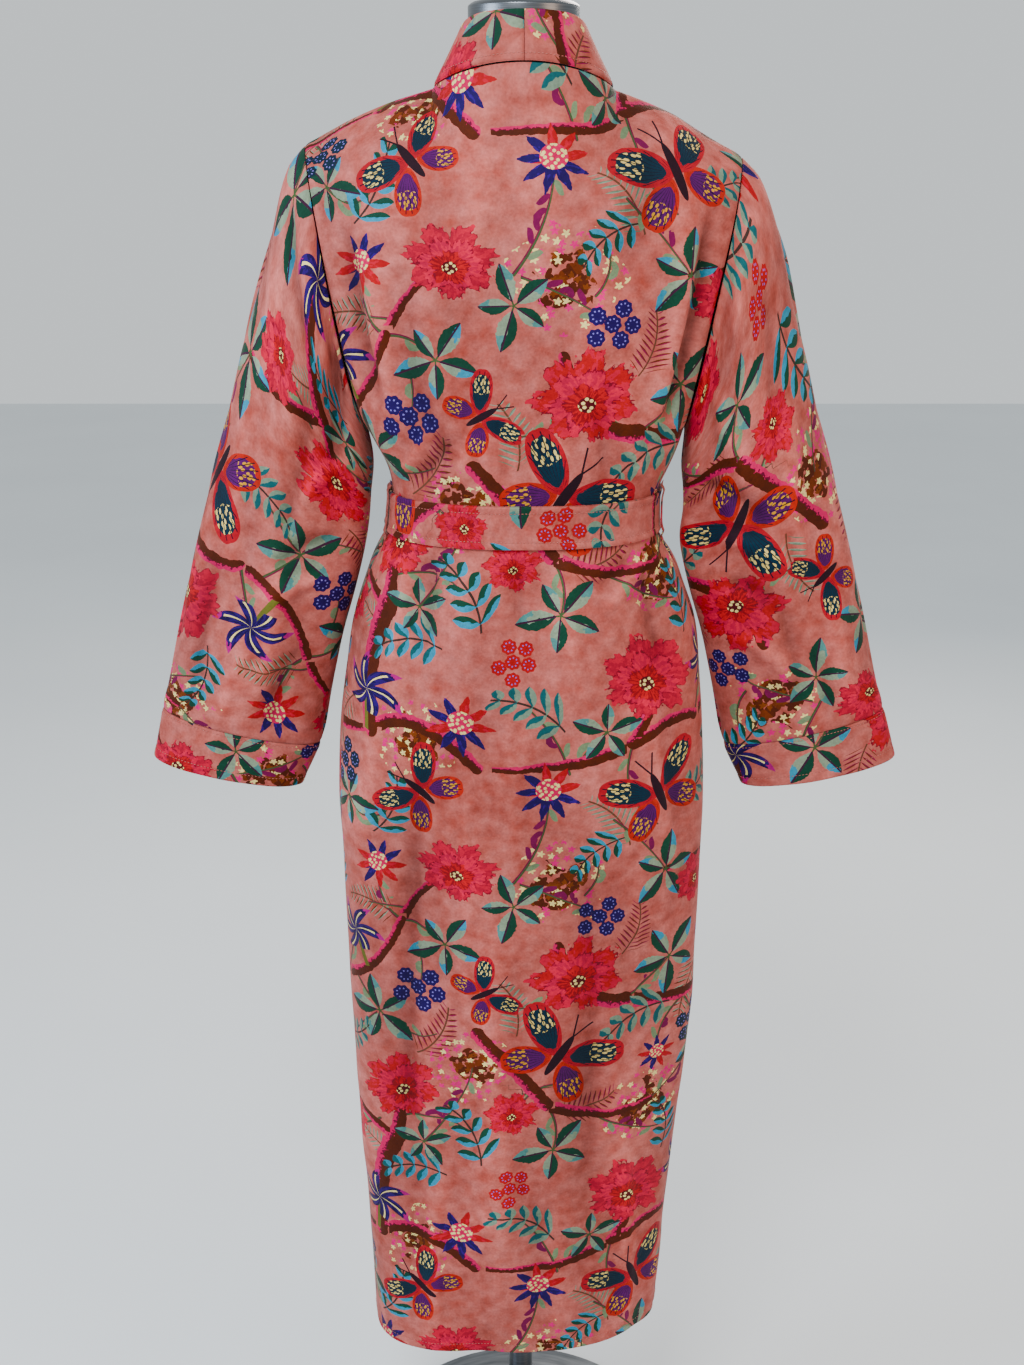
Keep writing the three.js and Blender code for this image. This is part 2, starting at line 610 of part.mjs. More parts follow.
// A narrow loop on each side seam, which holds the belt at the waist.
function addLoop(name, side) {
  const near = CLOTH / 2 + 2 * SEAM + LOOP.thick / 2;
  const far = BELT.onBack + BAND / 2 + SEAM + LOOP.thick / 2 + 0.6;
  const heights = [
    LOOP.below, BELT.z - BELT.wide / 2 - 4, BELT.z - BELT.wide / 2 + 1, BELT.z,
    BELT.z + BELT.wide / 2 - 1, BELT.z + BELT.wide / 2 + 4, LOOP.above,
  ];
  const surface = (across, z) => {
    const clear = smooth((BELT.wide / 2 + 6 - Math.abs(z - BELT.z)) / 5);
    const turn = SIDE_SEAM_TURN + across / rowHalf(rowAt(z));
    return waistPoint(side > 0 ? turn : Math.PI - turn, z, lerp(near, far, clear));
  };
  const across = steps(0, LOOP.wide, 2);
  add(`belt_loop_${name}`, wall(surface, across, heights, LOOP.thick), materials.velvet);
}

// The dress form's torso: even rings up to the yoke line, rolled shoulders under the cloth, and the neck.
function addTorso() {
  const side = 8;
  const neck = 6;
  const ringAngles = torsoColumns(side, neck);
  const count = ringAngles.length;
  const positions = [];
  const index = [];
  const rings = [];
  const push = (point) => {
    positions.push(...hang(point).toArray());
    return positions.length / 3 - 1;
  };
  const heights = [FORM_Z, FORM_Z + 22, ...steps(960, YOKE_Z, 12)];
  for (const z of heights) rings.push(ringAngles.map((column) => push(torsoSection(column.angle, z))));
  const lastPart = 0.9;
  for (const part of [0.25, 0.5, 0.72, lastPart]) {
    rings.push(ringAngles.map((column) => push(torsoShoulder(column, part))));
  }
  for (let j = 0; j < rings.length - 1; j += 1) {
    for (let i = 0; i < count; i += 1) {
      const next = (i + 1) % count;
      index.push(rings[j][i], rings[j][next], rings[j + 1][next]);
      index.push(rings[j][i], rings[j + 1][next], rings[j + 1][i]);
    }
  }
  const foot = push(new THREE.Vector3(0, 0, FORM_Z));
  for (let i = 0; i < count; i += 1) index.push(foot, rings[0][(i + 1) % count], rings[0][i]);
  closeShoulders(rings[rings.length - 1], ringAngles, index);
  addFormNeck(rings[rings.length - 1], ringAngles, push, index);
  add("form_torso", solid(positions, index), materials.jersey);
}

// The torso's columns once round: shoulder and neck columns of the back, then those of the front.
function torsoColumns(side, neck) {
  const parts = [
    ...steps(1, NECK_PART, side),
    ...steps(NECK_PART, -NECK_PART, neck).slice(1),
    ...steps(-NECK_PART, -1, side).slice(1),
  ];
  const angleOf = (c) => Math.atan2(Math.max(1 - Math.abs(c) ** TORSO_POWER, 0) ** (1 / TORSO_POWER), c);
  const spread = (c) => Math.sin((Math.PI / 2) * c) * 0.35 + c * 0.65;
  const backs = parts.map((c) => ({ c: spread(c), angle: angleOf(spread(c)), facing: 1 }));
  const fronts = backs.slice(1, -1).reverse().map(({ c, angle }) => ({ c, angle: -angle, facing: -1 }));
  return [...backs, ...fronts];
}

function torsoSection(angle, z) {
  const [c, s] = rounded(angle, TORSO_POWER);
  const inset = z < FORM_Z + 1 ? 0.93 : 1;
  const depth = read(TORSO, s < 0 ? "front" : "back", z);
  return new THREE.Vector3(read(TORSO, "half", z) * c * inset, depth * s * inset, z);
}

const FORM_NECK_C = NECK_PART * 0.65 + Math.sin((Math.PI / 2) * NECK_PART) * 0.35;

function torsoShoulder(column, part) {
  const start = torsoSection(column.angle, YOKE_Z);
  const size = Math.abs(column.c);
  const end = new THREE.Vector3();
  const under = CLOTH / 2 + SEAM + 0.3;
  if (size >= FORM_NECK_C - 1e-6) {
    end.copy(shoulderSeam((size - FORM_NECK_C) / (1 - FORM_NECK_C)));
    end.x -= 3;
    end.y = 0;
  } else {
    end.copy(neckSeam(size / FORM_NECK_C));
    end.multiply(new THREE.Vector3(0.96, 0.94, 1));
    if (column.facing < 0) {
      const turn = (size / FORM_NECK_C) * (Math.PI / 2);
      end.set(76 * Math.sin(turn), -50 * Math.cos(turn), lerp(1548, 1500, Math.cos(turn) ** 1.2));
    }
  }
  end.z -= under;
  start.x = Math.abs(start.x);
  const straight = 1 - smooth((size - 0.38) / 0.42);
  const point = overShoulder(start, end, straight, part);
  point.x *= Math.sign(column.c) || 1;
  return point;
}

// The narrow strip along the top of each shoulder, between the back's last ring and the front's.
function closeShoulders(ring, columns, index) {
  const backs = columns.filter((column) => column.facing > 0).length;
  const partner = (i) => (i === 0 || i === backs - 1 ? i : columns.length - i);
  for (let i = 0; i < backs - 1; i += 1) {
    const middle = (Math.abs(columns[i].c) + Math.abs(columns[i + 1].c)) / 2;
    if (middle < FORM_NECK_C) continue;
    const a = ring[i];
    const b = ring[i + 1];
    const c = ring[partner(i + 1)];
    const d = ring[partner(i)];
    if (a !== d) index.push(a, b, d);
    if (b !== c) index.push(b, c, d);
  }
}

function addFormNeck(ring, columns, push, index) {
  const atNeck = (i) => Math.abs(columns[i].c) <= FORM_NECK_C + 1e-6;
  const first = columns.map((column, i) => i).filter(atNeck);
  let below = first.map((i) => ring[i]);
  const turnOf = (i) => {
    const turn = (Math.abs(columns[i].c) / FORM_NECK_C) * (Math.PI / 2);
    return { x: Math.sin(turn) * (Math.sign(columns[i].c) || 1), y: Math.cos(turn) * columns[i].facing };
  };
  for (const row of FORM_NECK) {
    const next = first.map((i) => {
      const at = turnOf(i);
      return push(new THREE.Vector3(row.side * at.x, (at.y > 0 ? row.back : row.front) * at.y, row.z));
    });
    for (let k = 0; k < first.length; k += 1) {
      const n = (k + 1) % first.length;
      index.push(below[k], below[n], next[n], below[k], next[n], next[k]);
    }
    below = next;
  }
  const top = push(new THREE.Vector3(0, 0, FORM_NECK[FORM_NECK.length - 1].z));
  for (let k = 0; k < first.length; k += 1) index.push(top, below[k], below[(k + 1) % first.length]);
}

// A turned piece from its half profile, standing up along Z.
function turned(profile, segments) {
  const geometry = new THREE.LatheGeometry(profile.map(([r, z]) => new THREE.Vector2(r, z)), segments);
  geometry.rotateX(Math.PI / 2);
  geometry.deleteAttribute("uv");
  geometry.deleteAttribute("normal");
  return geometry;
}

function addStand() {
  const dome = steps(0, 90, 6).map((degrees) => [
    CAP.radius * Math.cos(radians(degrees)), CAP.z + 6 + (CAP.high - 6) * Math.sin(radians(degrees)),
  ]);
  dome[dome.length - 1][0] = 0;
  const rim = [[0, CAP.z], [CAP.radius - 1, CAP.z], [CAP.radius, CAP.z + 1]];
  add("form_neck_cap", turned([...rim, ...dome], 32), materials.gunmetal);
  const baseTop = 14;
  const hubTop = 46;
  add("form_base", turned([
    [0, 0], [BASE_R - 3, 0], [BASE_R, 3], [BASE_R, 8], [BASE_R - 5, baseTop - 2], [60, baseTop],
    [34, baseTop + 4], [28, hubTop - 3], [25, hubTop], [0, hubTop],
  ], 48), materials.gunmetal);
  add("form_pole", turned([
    [0, hubTop + SEAM], [POLE_R, hubTop + SEAM], [POLE_R, FORM_Z - SEAM], [0, FORM_Z - SEAM],
  ], 20), materials.gunmetal);
  const ring = { low: 196, high: 224, inner: POLE_R + SEAM, outer: 24 };
  add("form_pole_collar", turned([
    [ring.inner, ring.low], [ring.outer - 2, ring.low], [ring.outer, ring.low + 2], [ring.outer, ring.high - 4],
    [ring.outer - 4, ring.high], [ring.inner, ring.high], [ring.inner, ring.low],
  ], 20), materials.gunmetal);
}

addBody();
addNeckband();
addSleeves();
addBelt();
addTorso();
addStand();

export default robe;
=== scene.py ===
"""A kimono robe of printed cotton velvet on a limbless dress form, seen from behind.

The cloth pieces are grids laid on the same worked-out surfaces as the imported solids, with finer creases.
The print is drawn by the material: each piece's mesh only says where its cloth lies in each motif.
"""

import json
import math
from functools import partial

import bpy
import numpy as np
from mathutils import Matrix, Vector

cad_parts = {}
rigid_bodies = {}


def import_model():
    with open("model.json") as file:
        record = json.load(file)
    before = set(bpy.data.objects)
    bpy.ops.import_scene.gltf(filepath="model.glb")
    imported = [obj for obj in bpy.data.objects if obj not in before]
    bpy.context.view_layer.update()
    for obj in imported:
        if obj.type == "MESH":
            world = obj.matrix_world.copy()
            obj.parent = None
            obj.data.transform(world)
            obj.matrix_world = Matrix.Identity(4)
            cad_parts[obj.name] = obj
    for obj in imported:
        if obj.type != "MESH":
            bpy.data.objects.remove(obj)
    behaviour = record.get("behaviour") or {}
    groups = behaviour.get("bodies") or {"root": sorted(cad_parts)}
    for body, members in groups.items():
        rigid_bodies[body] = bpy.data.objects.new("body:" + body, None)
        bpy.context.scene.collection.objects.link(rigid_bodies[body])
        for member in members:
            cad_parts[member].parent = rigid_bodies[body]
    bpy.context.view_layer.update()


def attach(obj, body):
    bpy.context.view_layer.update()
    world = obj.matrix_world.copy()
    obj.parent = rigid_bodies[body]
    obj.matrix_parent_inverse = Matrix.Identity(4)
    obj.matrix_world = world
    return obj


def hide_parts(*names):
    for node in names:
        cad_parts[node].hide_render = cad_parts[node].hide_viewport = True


bl_info = {
    "name": "Printed velvet kimono robe",
    "version": (1, 0, 0),
    "blender": (4, 5, 0),
    "location": "3D View > Sidebar > Robe",
    "description": "Builds a printed velvet kimono robe on its dress form around a packed frame",
    "category": "Object",
}

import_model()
MM = 0.001

# Cloth and seams, in millimetres: how thick each is, the gaps between neighbours, how far the left front
# lies over the right, and the size of a grid cell
CLOTH = 2.0
BAND = 3.0
ANGLED_SEAM = 1.6
SEAM = 0.3
LAYER = 3.6
CELL = 5.5

# Places on the robe that the pieces share, in millimetres above the floor and from the middle
HEM_Z = 250.0
UNDERARM = (150.0, 1251.0)
SHOULDER = (195.0, 1500.0)
NECK = (80.0, 1548.0)
NAPE = (70.0, 1567.0)
ARMHOLE_DEEP = 48.0
YOKE_Z = 1470.0
SIDE_SEAM_TURN = 0.17
BAND_WIDE = 45.0
BELT_Z = 1171.5
BELT_WIDE = 41.0
BELT_ON_BACK = 3.1
BELT_ON_FRONT = 7.3
TAIL_LONG = 380.0
NECK_PART = 0.42
LOOP = 1.5
LOOP_WIDE = 12.0
LOOP_ENDS = (1142.0, 1201.0)
KNOT_MIDDLE = (9.0, -108.1, 1171.5)
KNOT_HALF = (28.9, 10.6, 25.0)

# The knot's wrapping end: half its width as a part of the knot's, the knot's mean relief as a part of
# its depth, and how many millimetres of relief a whole depth is to the velvet's painted crease shade
KNOT_WRAP = 0.42
KNOT_MEAN = 0.04
KNOT_PAINTED_SHADE = 22.0

# Turned metal parts of the form: radius and height of each ring from the foot up
CAP_PROFILE = ((48.0, 1600.3), (49.0, 1601.5), (49.0, 1615.0), (46.5, 1617.0), (44.0, 1618.4),
               (30.0, 1621.0), (14.0, 1622.4), (12.5, 1623.6), (11.0, 1624.3))
POLE_PROFILE = ((13.5, 46.3), (13.5, 899.7))
COLLAR_PROFILE = ((22.0, 196.0), (24.0, 198.0), (24.0, 206.0), (22.6, 207.4), (22.6, 212.6), (24.0, 214.0),
                  (24.0, 222.0), (22.0, 224.0))
BASE_PROFILE = ((183.0, 0.0), (185.0, 2.0), (185.0, 10.0), (181.0, 14.0), (150.0, 18.5), (100.0, 23.5),
                (60.0, 28.0), (38.0, 33.0), (28.0, 39.0), (24.0, 46.0))

# The photographed view: the focal length and the picture's height in pixels, the camera's place in
# metres and how many degrees it looks down. Then the floor, and the lamps: name, place, what they
# point at, size in metres, strength in watts and colour.
FOCAL_PIXELS = 1600.0
FRAME_HIGH = 1365.0
SENSOR = 36.0
CAMERA_AT = (0.0103, 1.511, 1.509)
CAMERA_DOWN = 18.9
FLOOR_WIDE = 16.0
LAMPS = (
    ("ceiling lamp", (0.5, 1.7, 3.0), (0.0, 0.1, 1.4), 0.8, 66, "#F6FAFF"),
    ("cool window", (2.2, 0.8, 1.9), (0.0, 0.0, 1.2), 1.0, 44, "#DCEBFF"),
    ("warm lamp", (-1.9, 1.3, 1.9), (0.0, 0.0, 1.1), 0.9, 18, "#FFD4B4"),
    ("front lamp", (-0.9, -2.4, 2.5), (0.0, 0.0, 1.2), 1.2, 62, "#FFF4EA"),
)

# Sewn and folded edges, in millimetres: grid lines beside them, the part of the thickness left at the
# rim and next to it, the dip at a seam and how far it keeps creases away, and the hem and its stitching
EDGE_LINES = (0.0, 0.8, 2.0, 3.4, 5.0, 6.6, 8.4, 10.4)
RIM = 0.35
RIM_NEAR = 0.85
SEAM_DIP = 0.8
SEAM_SOFT = 3.0
SEAM_HOLDS = 14.0
STITCH_DIP = 0.5
STITCH_SOFT = 1.7
HEM_STEP = 0.35
HEM_LINE = EDGE_LINES[7]
STITCH_LINE = EDGE_LINES[5]

# Grid columns round a sleeve and round the belt
SLEEVE_SIDES = 96
BELT_SIDES = 150

# The robe's body from the hem up: height, half width, depth behind and before the middle, and how
# square the back's left and right corners are.
BODY_COLUMNS = ("z", "half", "back", "front", "left", "right")
BODY = [
    (250, 157, 92, 95, 3.8, 2.0),
    (378, 163, 94, 98, 3.3, 2.1),
    (508, 171, 97, 103, 2.9, 2.2),
    (632, 178, 100, 108, 2.7, 2.3),
    (774, 182, 104, 113, 2.5, 2.4),
    (904, 182, 109, 113, 2.4, 2.4),
    (970, 177, 110, 109, 2.4, 2.4),
    (1060, 166, 106, 102, 2.4, 2.4),
    (1114, 147, 98, 96, 2.4, 2.4),
    (1151, 128, 92, 90, 2.4, 2.4),
    (1171, 126, 90, 88, 2.4, 2.4),
    (1192, 128, 92, 90, 2.4, 2.4),
    (1251, 150, 96, 104, 2.3, 2.3),
    (1330, 164, 97, 122, 2.2, 2.2),
    (1400, 177, 98, 108, 2.2, 2.2),
    (1450, 186, 95, 86, 2.2, 2.2),
    (1500, 195, 86, 60, 2.2, 2.2),
]

# Large folds of the body: angle in degrees (0 is the wearer's left, 90 the back), width in degrees,
# how far it stands out, the height of its middle and half its length.
BODY_FOLDS = [
    (34, 7, 4.5, 1085, 75), (52, 6, -3.5, 1075, 65), (71, 8, 3.5, 1090, 60), (96, 8, -2.5, 1080, 70),
    (118, 7, 3.5, 1085, 80), (146, 8, 4.0, 1070, 85), (28, 8, 5.0, 1235, 36), (48, 6, -3.0, 1240, 42),
    (76, 8, 3.0, 1235, 34), (112, 9, 3.0, 1238, 40), (150, 8, 5.0, 1240, 42), (60, 12, -4.0, 720, 330),
    (88, 12, 3.0, 520, 300), (128, 12, -4.0, 640, 330), (156, 10, 4.0, 560, 330), (224, 12, 3.5, 700, 320),
    (250, 10, -3.5, 620, 340), (288, 11, 3.5, 660, 330), (318, 12, -3.5, 740, 320), (232, 8, 3.0, 1080, 70),
    (262, 7, -2.5, 1085, 60), (300, 8, 3.0, 1080, 75),
]

# The seam between each front and the neckband, as its distance from the middle.
EDGE_COLUMNS = ("z", "x")
FRONT_EDGE = [
    (250, -65), (600, -45), (1000, -20), (1171, 4), (1230, 18), (1290, 34), (1360, 50), (1430, 66),
    (1470, 74), (1548, 80),
]

# The neckband's free edge: station 0 is the centre back, 1 the neck point, 2 the yoke line in front.
COLLAR_COLUMNS = ("station", "x", "y", "z")
COLLAR_EDGE = [
    (-0.25, -24, 59, 1608), (0.0, 0, 62, 1609), (0.25, 24, 59, 1608), (0.5, 42, 48, 1605),
    (0.75, 51.5, 30, 1599), (1.0, 54, 5, 1590), (1.25, 52, -21, 1574), (1.5, 46.5, -44, 1546),
    (1.75, 38, -62, 1511), (2.0, 29, -74, 1470),
]

# Sleeve sections from the armhole to the end of the cuff: outer and inner edge, and half the depth.
SLEEVE_COLUMNS = ("row", "out_x", "out_z", "in_x", "in_z", "deep")
SLEEVE = [
    (0, 196.1, 1499.5, 153.0, 1250, 48),
    (1, 212, 1474, 154, 1243, 50),
    (2, 231, 1418, 153.5, 1231, 52),
    (3, 255, 1337, 150.5, 1205, 51),
    (4, 280, 1250, 150, 1170, 50),
    (5, 298, 1190, 155, 1135, 49),
    (6, 318, 1120, 166, 1085, 46),
    (7, 334, 1060, 180, 1036, 43),
    (8, 349, 1004, 192, 984, 39),
    (9, 359, 967, 204, 930, 35),
    (10, 371, 915, 224, 885, 32),
]
CUFF_SEAM_ROW = 9.0
CUFF_START_ROW = 9.0075
CUFF_END_ROW = 10.0

# Large creases of the sleeves: turn in degrees (0 is the outer edge, 90 the back), width, how far it
# stands out, place along SLEEVE, half length, and degrees of lean for each row.
SLEEVE_FOLDS = {
    1: [
        (118, 15, -7, 2.2, 1.9, 3), (78, 14, 5, 2.0, 1.8, 2), (100, 16, 4, 6.4, 2.0, -3),
        (60, 15, -4, 7.0, 1.9, 2), (250, 17, -6, 3.2, 1.8, -3), (290, 16, 4, 6.0, 2.1, 2),
    ],
    -1: [
        (122, 16, -7, 2.0, 1.7, 4), (84, 13, 5, 2.4, 1.9, 3), (176, 22, 6, 4.9, 0.8, 0),
        (66, 14, -4, 6.4, 2.0, 3), (104, 15, 4, 7.2, 1.7, -3), (244, 16, -5, 3.4, 1.9, -2),
        (292, 15, 4, 6.4, 1.9, 3),
    ],
}

# Where the robe hangs askew: the middle of each soft push in x and height, its reach both ways, and
# how far it moves the cloth there.
HANG = [
    (0, 180, 400, 330, 8, 0), (-190, 1500, 75, 110, 0, -10), (-235, 1430, 40, 60, -6, 0),
    (120, 1226, 62, 38, -11, 0), (-166, 1160, 22, 42, -16, 0), (-372, 905, 50, 60, -5, 0),
]


def column(rows, columns, name):
    """One named column of a table."""
    return np.array([row[columns.index(name)] for row in rows], dtype=float)


def smooth(t):
    """A soft step from 0 to 1."""
    t = np.clip(t, 0.0, 1.0)
    return t * t * (3 - 2 * t)


def bell(t):
    """A soft bump of height 1 that has faded at 2."""
    return np.exp(-np.square(t))


def lerp(a, b, t):
    return a + (b - a) * t


def read(rows, columns, name, at):
    """A smooth curve through one column of a table, against its first column."""
    x = column(rows, columns, columns[0])
    y = column(rows, columns, name)
    low = np.maximum(np.arange(len(x)) - 1, 0)
    high = np.minimum(np.arange(len(x)) + 1, len(x) - 1)
    slope = (y[high] - y[low]) / (x[high] - x[low])
    at = np.asarray(at, dtype=float)
    i = np.clip(np.searchsorted(x, at, side="left") - 1, 0, len(x) - 2)
    span = x[i + 1] - x[i]
    t = np.clip((at - x[i]) / span, 0.0, 1.0)
    start = (2 * t**3 - 3 * t**2 + 1) * y[i] + (t**3 - 2 * t**2 + t) * span * slope[i]
    return start + (3 * t**2 - 2 * t**3) * y[i + 1] + (t**3 - t**2) * span * slope[i + 1]


def joined(x, y, z):
    """Points from their three coordinates."""
    return np.stack(np.broadcast_arrays(x, y, z), axis=-1).astype(float)


def body_at(name, z):
    return read(BODY, BODY_COLUMNS, name, z)


def squareness(angle, z):
    """The power of the body's rounded section, 2 for an ellipse and more for a squarer corner."""
    back = smooth((1 + np.sin(angle)) / 2)
    left = smooth((1 + np.cos(angle)) / 2)
    corner = lerp(body_at("right", z), body_at("left", z), left)
    return lerp(2.3, corner, back)


def rounded(angle, power):
    """The place of an angle on a rounded square of half width 1."""
    c = np.cos(angle)
    s = np.sin(angle)
    scale = (np.abs(c) ** power + np.abs(s) ** power) ** (-1 / power)
    return c * scale, s * scale


def body_fold(angle, z):
    """How far the large folds stand out of the body, none under the belt or over the yoke."""
    degrees = np.degrees(angle) % 360
    out = np.zeros(np.broadcast(angle, z).shape)
    for at, wide, high, middle, reach in BODY_FOLDS:
        turn = (degrees - at + 540) % 360 - 180
        out = out + high * bell(turn / wide) * bell((z - middle) / reach)
    under_belt = 1 - smooth((np.abs(z - BELT_Z) - BELT_WIDE / 2 - 4) / 24)
    return out * (1 - under_belt) * smooth((YOKE_Z - 40 - z) / 80)


def armhole(turn):
    """The armhole's ellipse in its leaning plane, from the underarm (0) to the shoulder tip (pi)."""
    middle = (UNDERARM[1] + SHOULDER[1]) / 2
    high = SHOULDER[1] - UNDERARM[1]
    z = middle - high / 2 * np.cos(turn)
    x = lerp(UNDERARM[0], SHOULDER[0], (z - UNDERARM[1]) / high)
    return x, ARMHOLE_DEEP * np.sin(turn), z


YOKE_TURN = math.acos(1 - 2 * (YOKE_Z - UNDERARM[1]) / (SHOULDER[1] - UNDERARM[1]))


def row_height(row):
    """The height of a row of the body's cloth: the hem is 0, the underarm 1 and the yoke line 2."""
    hole = armhole(np.clip(row - 1, 0, 1) * YOKE_TURN)[2]
    return np.where(row <= 1, lerp(HEM_Z, UNDERARM[1], row), hole)


def row_half(row):
    """Half the body's width at a row."""
    hole = armhole(np.clip(row - 1, 0, 1) * YOKE_TURN)[0]
    return np.where(row <= 1, body_at("half", row_height(row)), hole)


def row_at(z):
    """The row of a height below the underarm."""
    return (z - HEM_Z) / (UNDERARM[1] - HEM_Z)


def seam_angle(row):
    """Where the side seam runs, a little behind the middle below the underarm."""
    return SIDE_SEAM_TURN * smooth((UNDERARM[1] - row_height(row)) / 100)


def body_point(angle, row):
    """The middle of the body cloth. Row 0 is the hem, 1 the underarm and 2 the yoke line."""
    turn = np.clip(row - 1, 0, 1) * YOKE_TURN
    _, hole_y, _ = armhole(turn)
    z = row_height(row)
    half = row_half(row)
    c, s = rounded(angle, squareness(angle, z))
    facing = np.where(s < 0, -1.0, 1.0)
    depth = np.where(s < 0, body_at("front", z), body_at("back", z))
    full = 1 - np.abs(c) ** 3
    rise = lerp(np.abs(s), full, smooth(turn / math.radians(70)))
    fold = body_fold(angle, z) * (1 - np.abs(c) ** 6 * smooth(turn / math.radians(40)))
    away_x = c / half
    away_y = s / depth
    size = np.hypot(away_x, away_y)
    x = half * c + fold * away_x / size
    y = facing * (hole_y + (depth - hole_y) * rise) + fold * away_y / size
    return joined(x, y, z)


def front_angle(x, z, half):
    """The angle at which the front of the body is x from the middle."""
    c = np.clip(x / half, -1, 1)
    angle = -np.arccos(c)
    for _ in range(6):
        power = squareness(angle, z)
        angle = -np.arctan2((1 - np.abs(c) ** power) ** (1 / power), c)
    return angle


def neck_seam(part):
    """The neckline from the centre back (0) to the neck point (1)."""
    turn = part * math.pi / 2
    z = lerp(NECK[1], NAPE[1], np.maximum(np.cos(turn), 0) ** 1.7)
    return joined(NECK[0] * np.sin(turn), NAPE[0] * np.cos(turn), z)


def shoulder_seam(part):
    """The shoulder seam from the neck point (0) to the shoulder tip (1)."""
    arch = 4 * np.sin(math.pi * part)
    gap = lerp(ANGLED_SEAM, SEAM, smooth(part * 2)) / 2
    return joined(lerp(NECK[0], SHOULDER[0], part), gap, lerp(NECK[1], SHOULDER[1], part) + arch)


def over_shoulder(start, end, straight, part):
    """Rolls a column over to the shoulder seam, or takes it straight up to the neck."""
    turn = lerp(YOKE_TURN, math.pi, part)
    across = np.sin(turn) / math.sin(YOKE_TURN)
    up = (math.cos(YOKE_TURN) - np.cos(turn)) / (math.cos(YOKE_TURN) + 1)
    y = lerp(across, 1 - part, straight)
    z = lerp(up, part, straight)
    return joined(
        lerp(start[..., 0], end[..., 0], z),
        lerp(end[..., 1], start[..., 1], y),
        lerp(start[..., 2], end[..., 2], z),
    )


def back_point(u, row):
    """The back, u from the left side seam (0) to the right (1), and rows 2 to 3 over the shoulder."""
    middle = np.abs(2 * u - 1)
    flat = np.minimum(row, 2)
    gap = SEAM / 2 / row_half(flat) * np.where(row < 1, 1, 0)
    low = seam_angle(flat) + gap
    split = 0.4
    neck_angle = math.acos(NECK_PART) * 0.985
    to_side = np.clip((middle - split) / (1 - split), 0, 1)
    turn = np.where(
        middle < split,
        lerp(math.pi / 2, neck_angle, np.clip(middle / split, 0, 1)),
        lerp(neck_angle, low, to_side),
    )
    angle = np.where(u < 0.5, turn, math.pi - turn)
    below = body_point(angle, flat)
    start = below.copy()
    start[..., 0] = np.abs(start[..., 0])
    neck = neck_seam(np.clip(middle / split, 0, 1))
    end = np.where((middle < split)[..., None], neck, shoulder_seam(to_side))
    straight = 1 - smooth((middle - 0.25) / 0.35)
    above = over_shoulder(start, end, straight, np.clip(row - 2, 0, 1))
    above[..., 0] *= np.where(u < 0.5, 1, -1)
    return np.where((row <= 2)[..., None], below, above)


def moved(surface, u, v, distance, side):
    """A surface's points moved along its normals, to the outside of the body."""
    step = 1e-3
    across = surface(u + step, v) - surface(u - step, v)
    along = surface(u, v + step) - surface(u, v - step)
    normal = np.cross(across, along)
    normal /= np.maximum(np.linalg.norm(normal, axis=-1, keepdims=True), 1e-12)
    return surface(u, v) + normal * np.asarray(distance * side)[..., None]


def front_surface(side, angle, row):
    """The front of the body, where the left front lies over the right by one layer."""
    def at(turn, line):
        return body_point(turn if side > 0 else math.pi - turn, line)

    if side < 0:
        return at(angle, row)
    layer = LAYER * smooth((SIDE_SEAM_TURN - angle) / 0.55) * (1 - smooth((row_height(row) - 1375) / 70))
    return moved(at, angle, row, layer, side)


def front_point(side, u, row):
    """A front, u from its side seam (0) to the neckband seam (1), with rows like those of the back."""
    flat = np.minimum(row, 2)
    z = row_height(flat)
    half = row_half(flat)
    edge = front_angle(read(FRONT_EDGE, EDGE_COLUMNS, "x", z), z, half)
    gap = SEAM / 2 / half
    low = seam_angle(flat) - gap * np.where(row < 1, 1, 0) - np.where(flat >= 1, 1e-4, 0)
    below = front_surface(side, lerp(low, edge + gap, u), flat)
    start = below.copy()
    start[..., 0] *= side
    end = shoulder_seam(np.clip(1 - u, 0, 1))
    end[..., 1] *= -1
    above = over_shoulder(start, end, 0.7 * smooth((u - 0.5) / 0.5), np.clip(row - 2, 0, 1))
    above[..., 0] *= side
    return np.where((row <= 2)[..., None], below, above)


def edge_point(side, across, row):
    """The neckband below the yoke, across from its seam (0) to its free edge (1)."""
    z = row_height(row)
    x = read(FRONT_EDGE, EDGE_COLUMNS, "x", z) - BAND_WIDE * across
    return front_surface(side, front_angle(x, z, row_half(row)), row)


def neckband_point(side, across, station):
    """The neckband: across from its seam (0) to its free edge (1), and along from the centre back."""
    apart = lerp(ANGLED_SEAM, SEAM, smooth((station - 1.2) / 0.8)) / BAND_WIDE
    across = lerp(apart, 1, across)
    round_neck = np.clip(station, 0, 2)
    seam = np.where(
        (station <= 1)[..., None],
        neck_seam(np.clip(station, 0, 1)),
        front_point(side, np.ones_like(across), 4 - np.clip(station, 1, 2)),
    )
    seam[..., 0] = np.abs(seam[..., 0])
    free = joined(*(read(COLLAR_EDGE, COLLAR_COLUMNS, name, round_neck) for name in "xyz"))
    yoke = edge_point(side, np.ones_like(across), np.full_like(across, 2.0))
    yoke[..., 0] = np.abs(yoke[..., 0])
    free = np.where((station > 1.999)[..., None], yoke, free)
    collar = lerp(seam, free, across[..., None])
    collar[..., 0] *= side
    front = edge_point(side, across, lerp(2, 0, np.clip(station - 2, 0, 1)))
    return np.where((station <= 2)[..., None], collar, front)


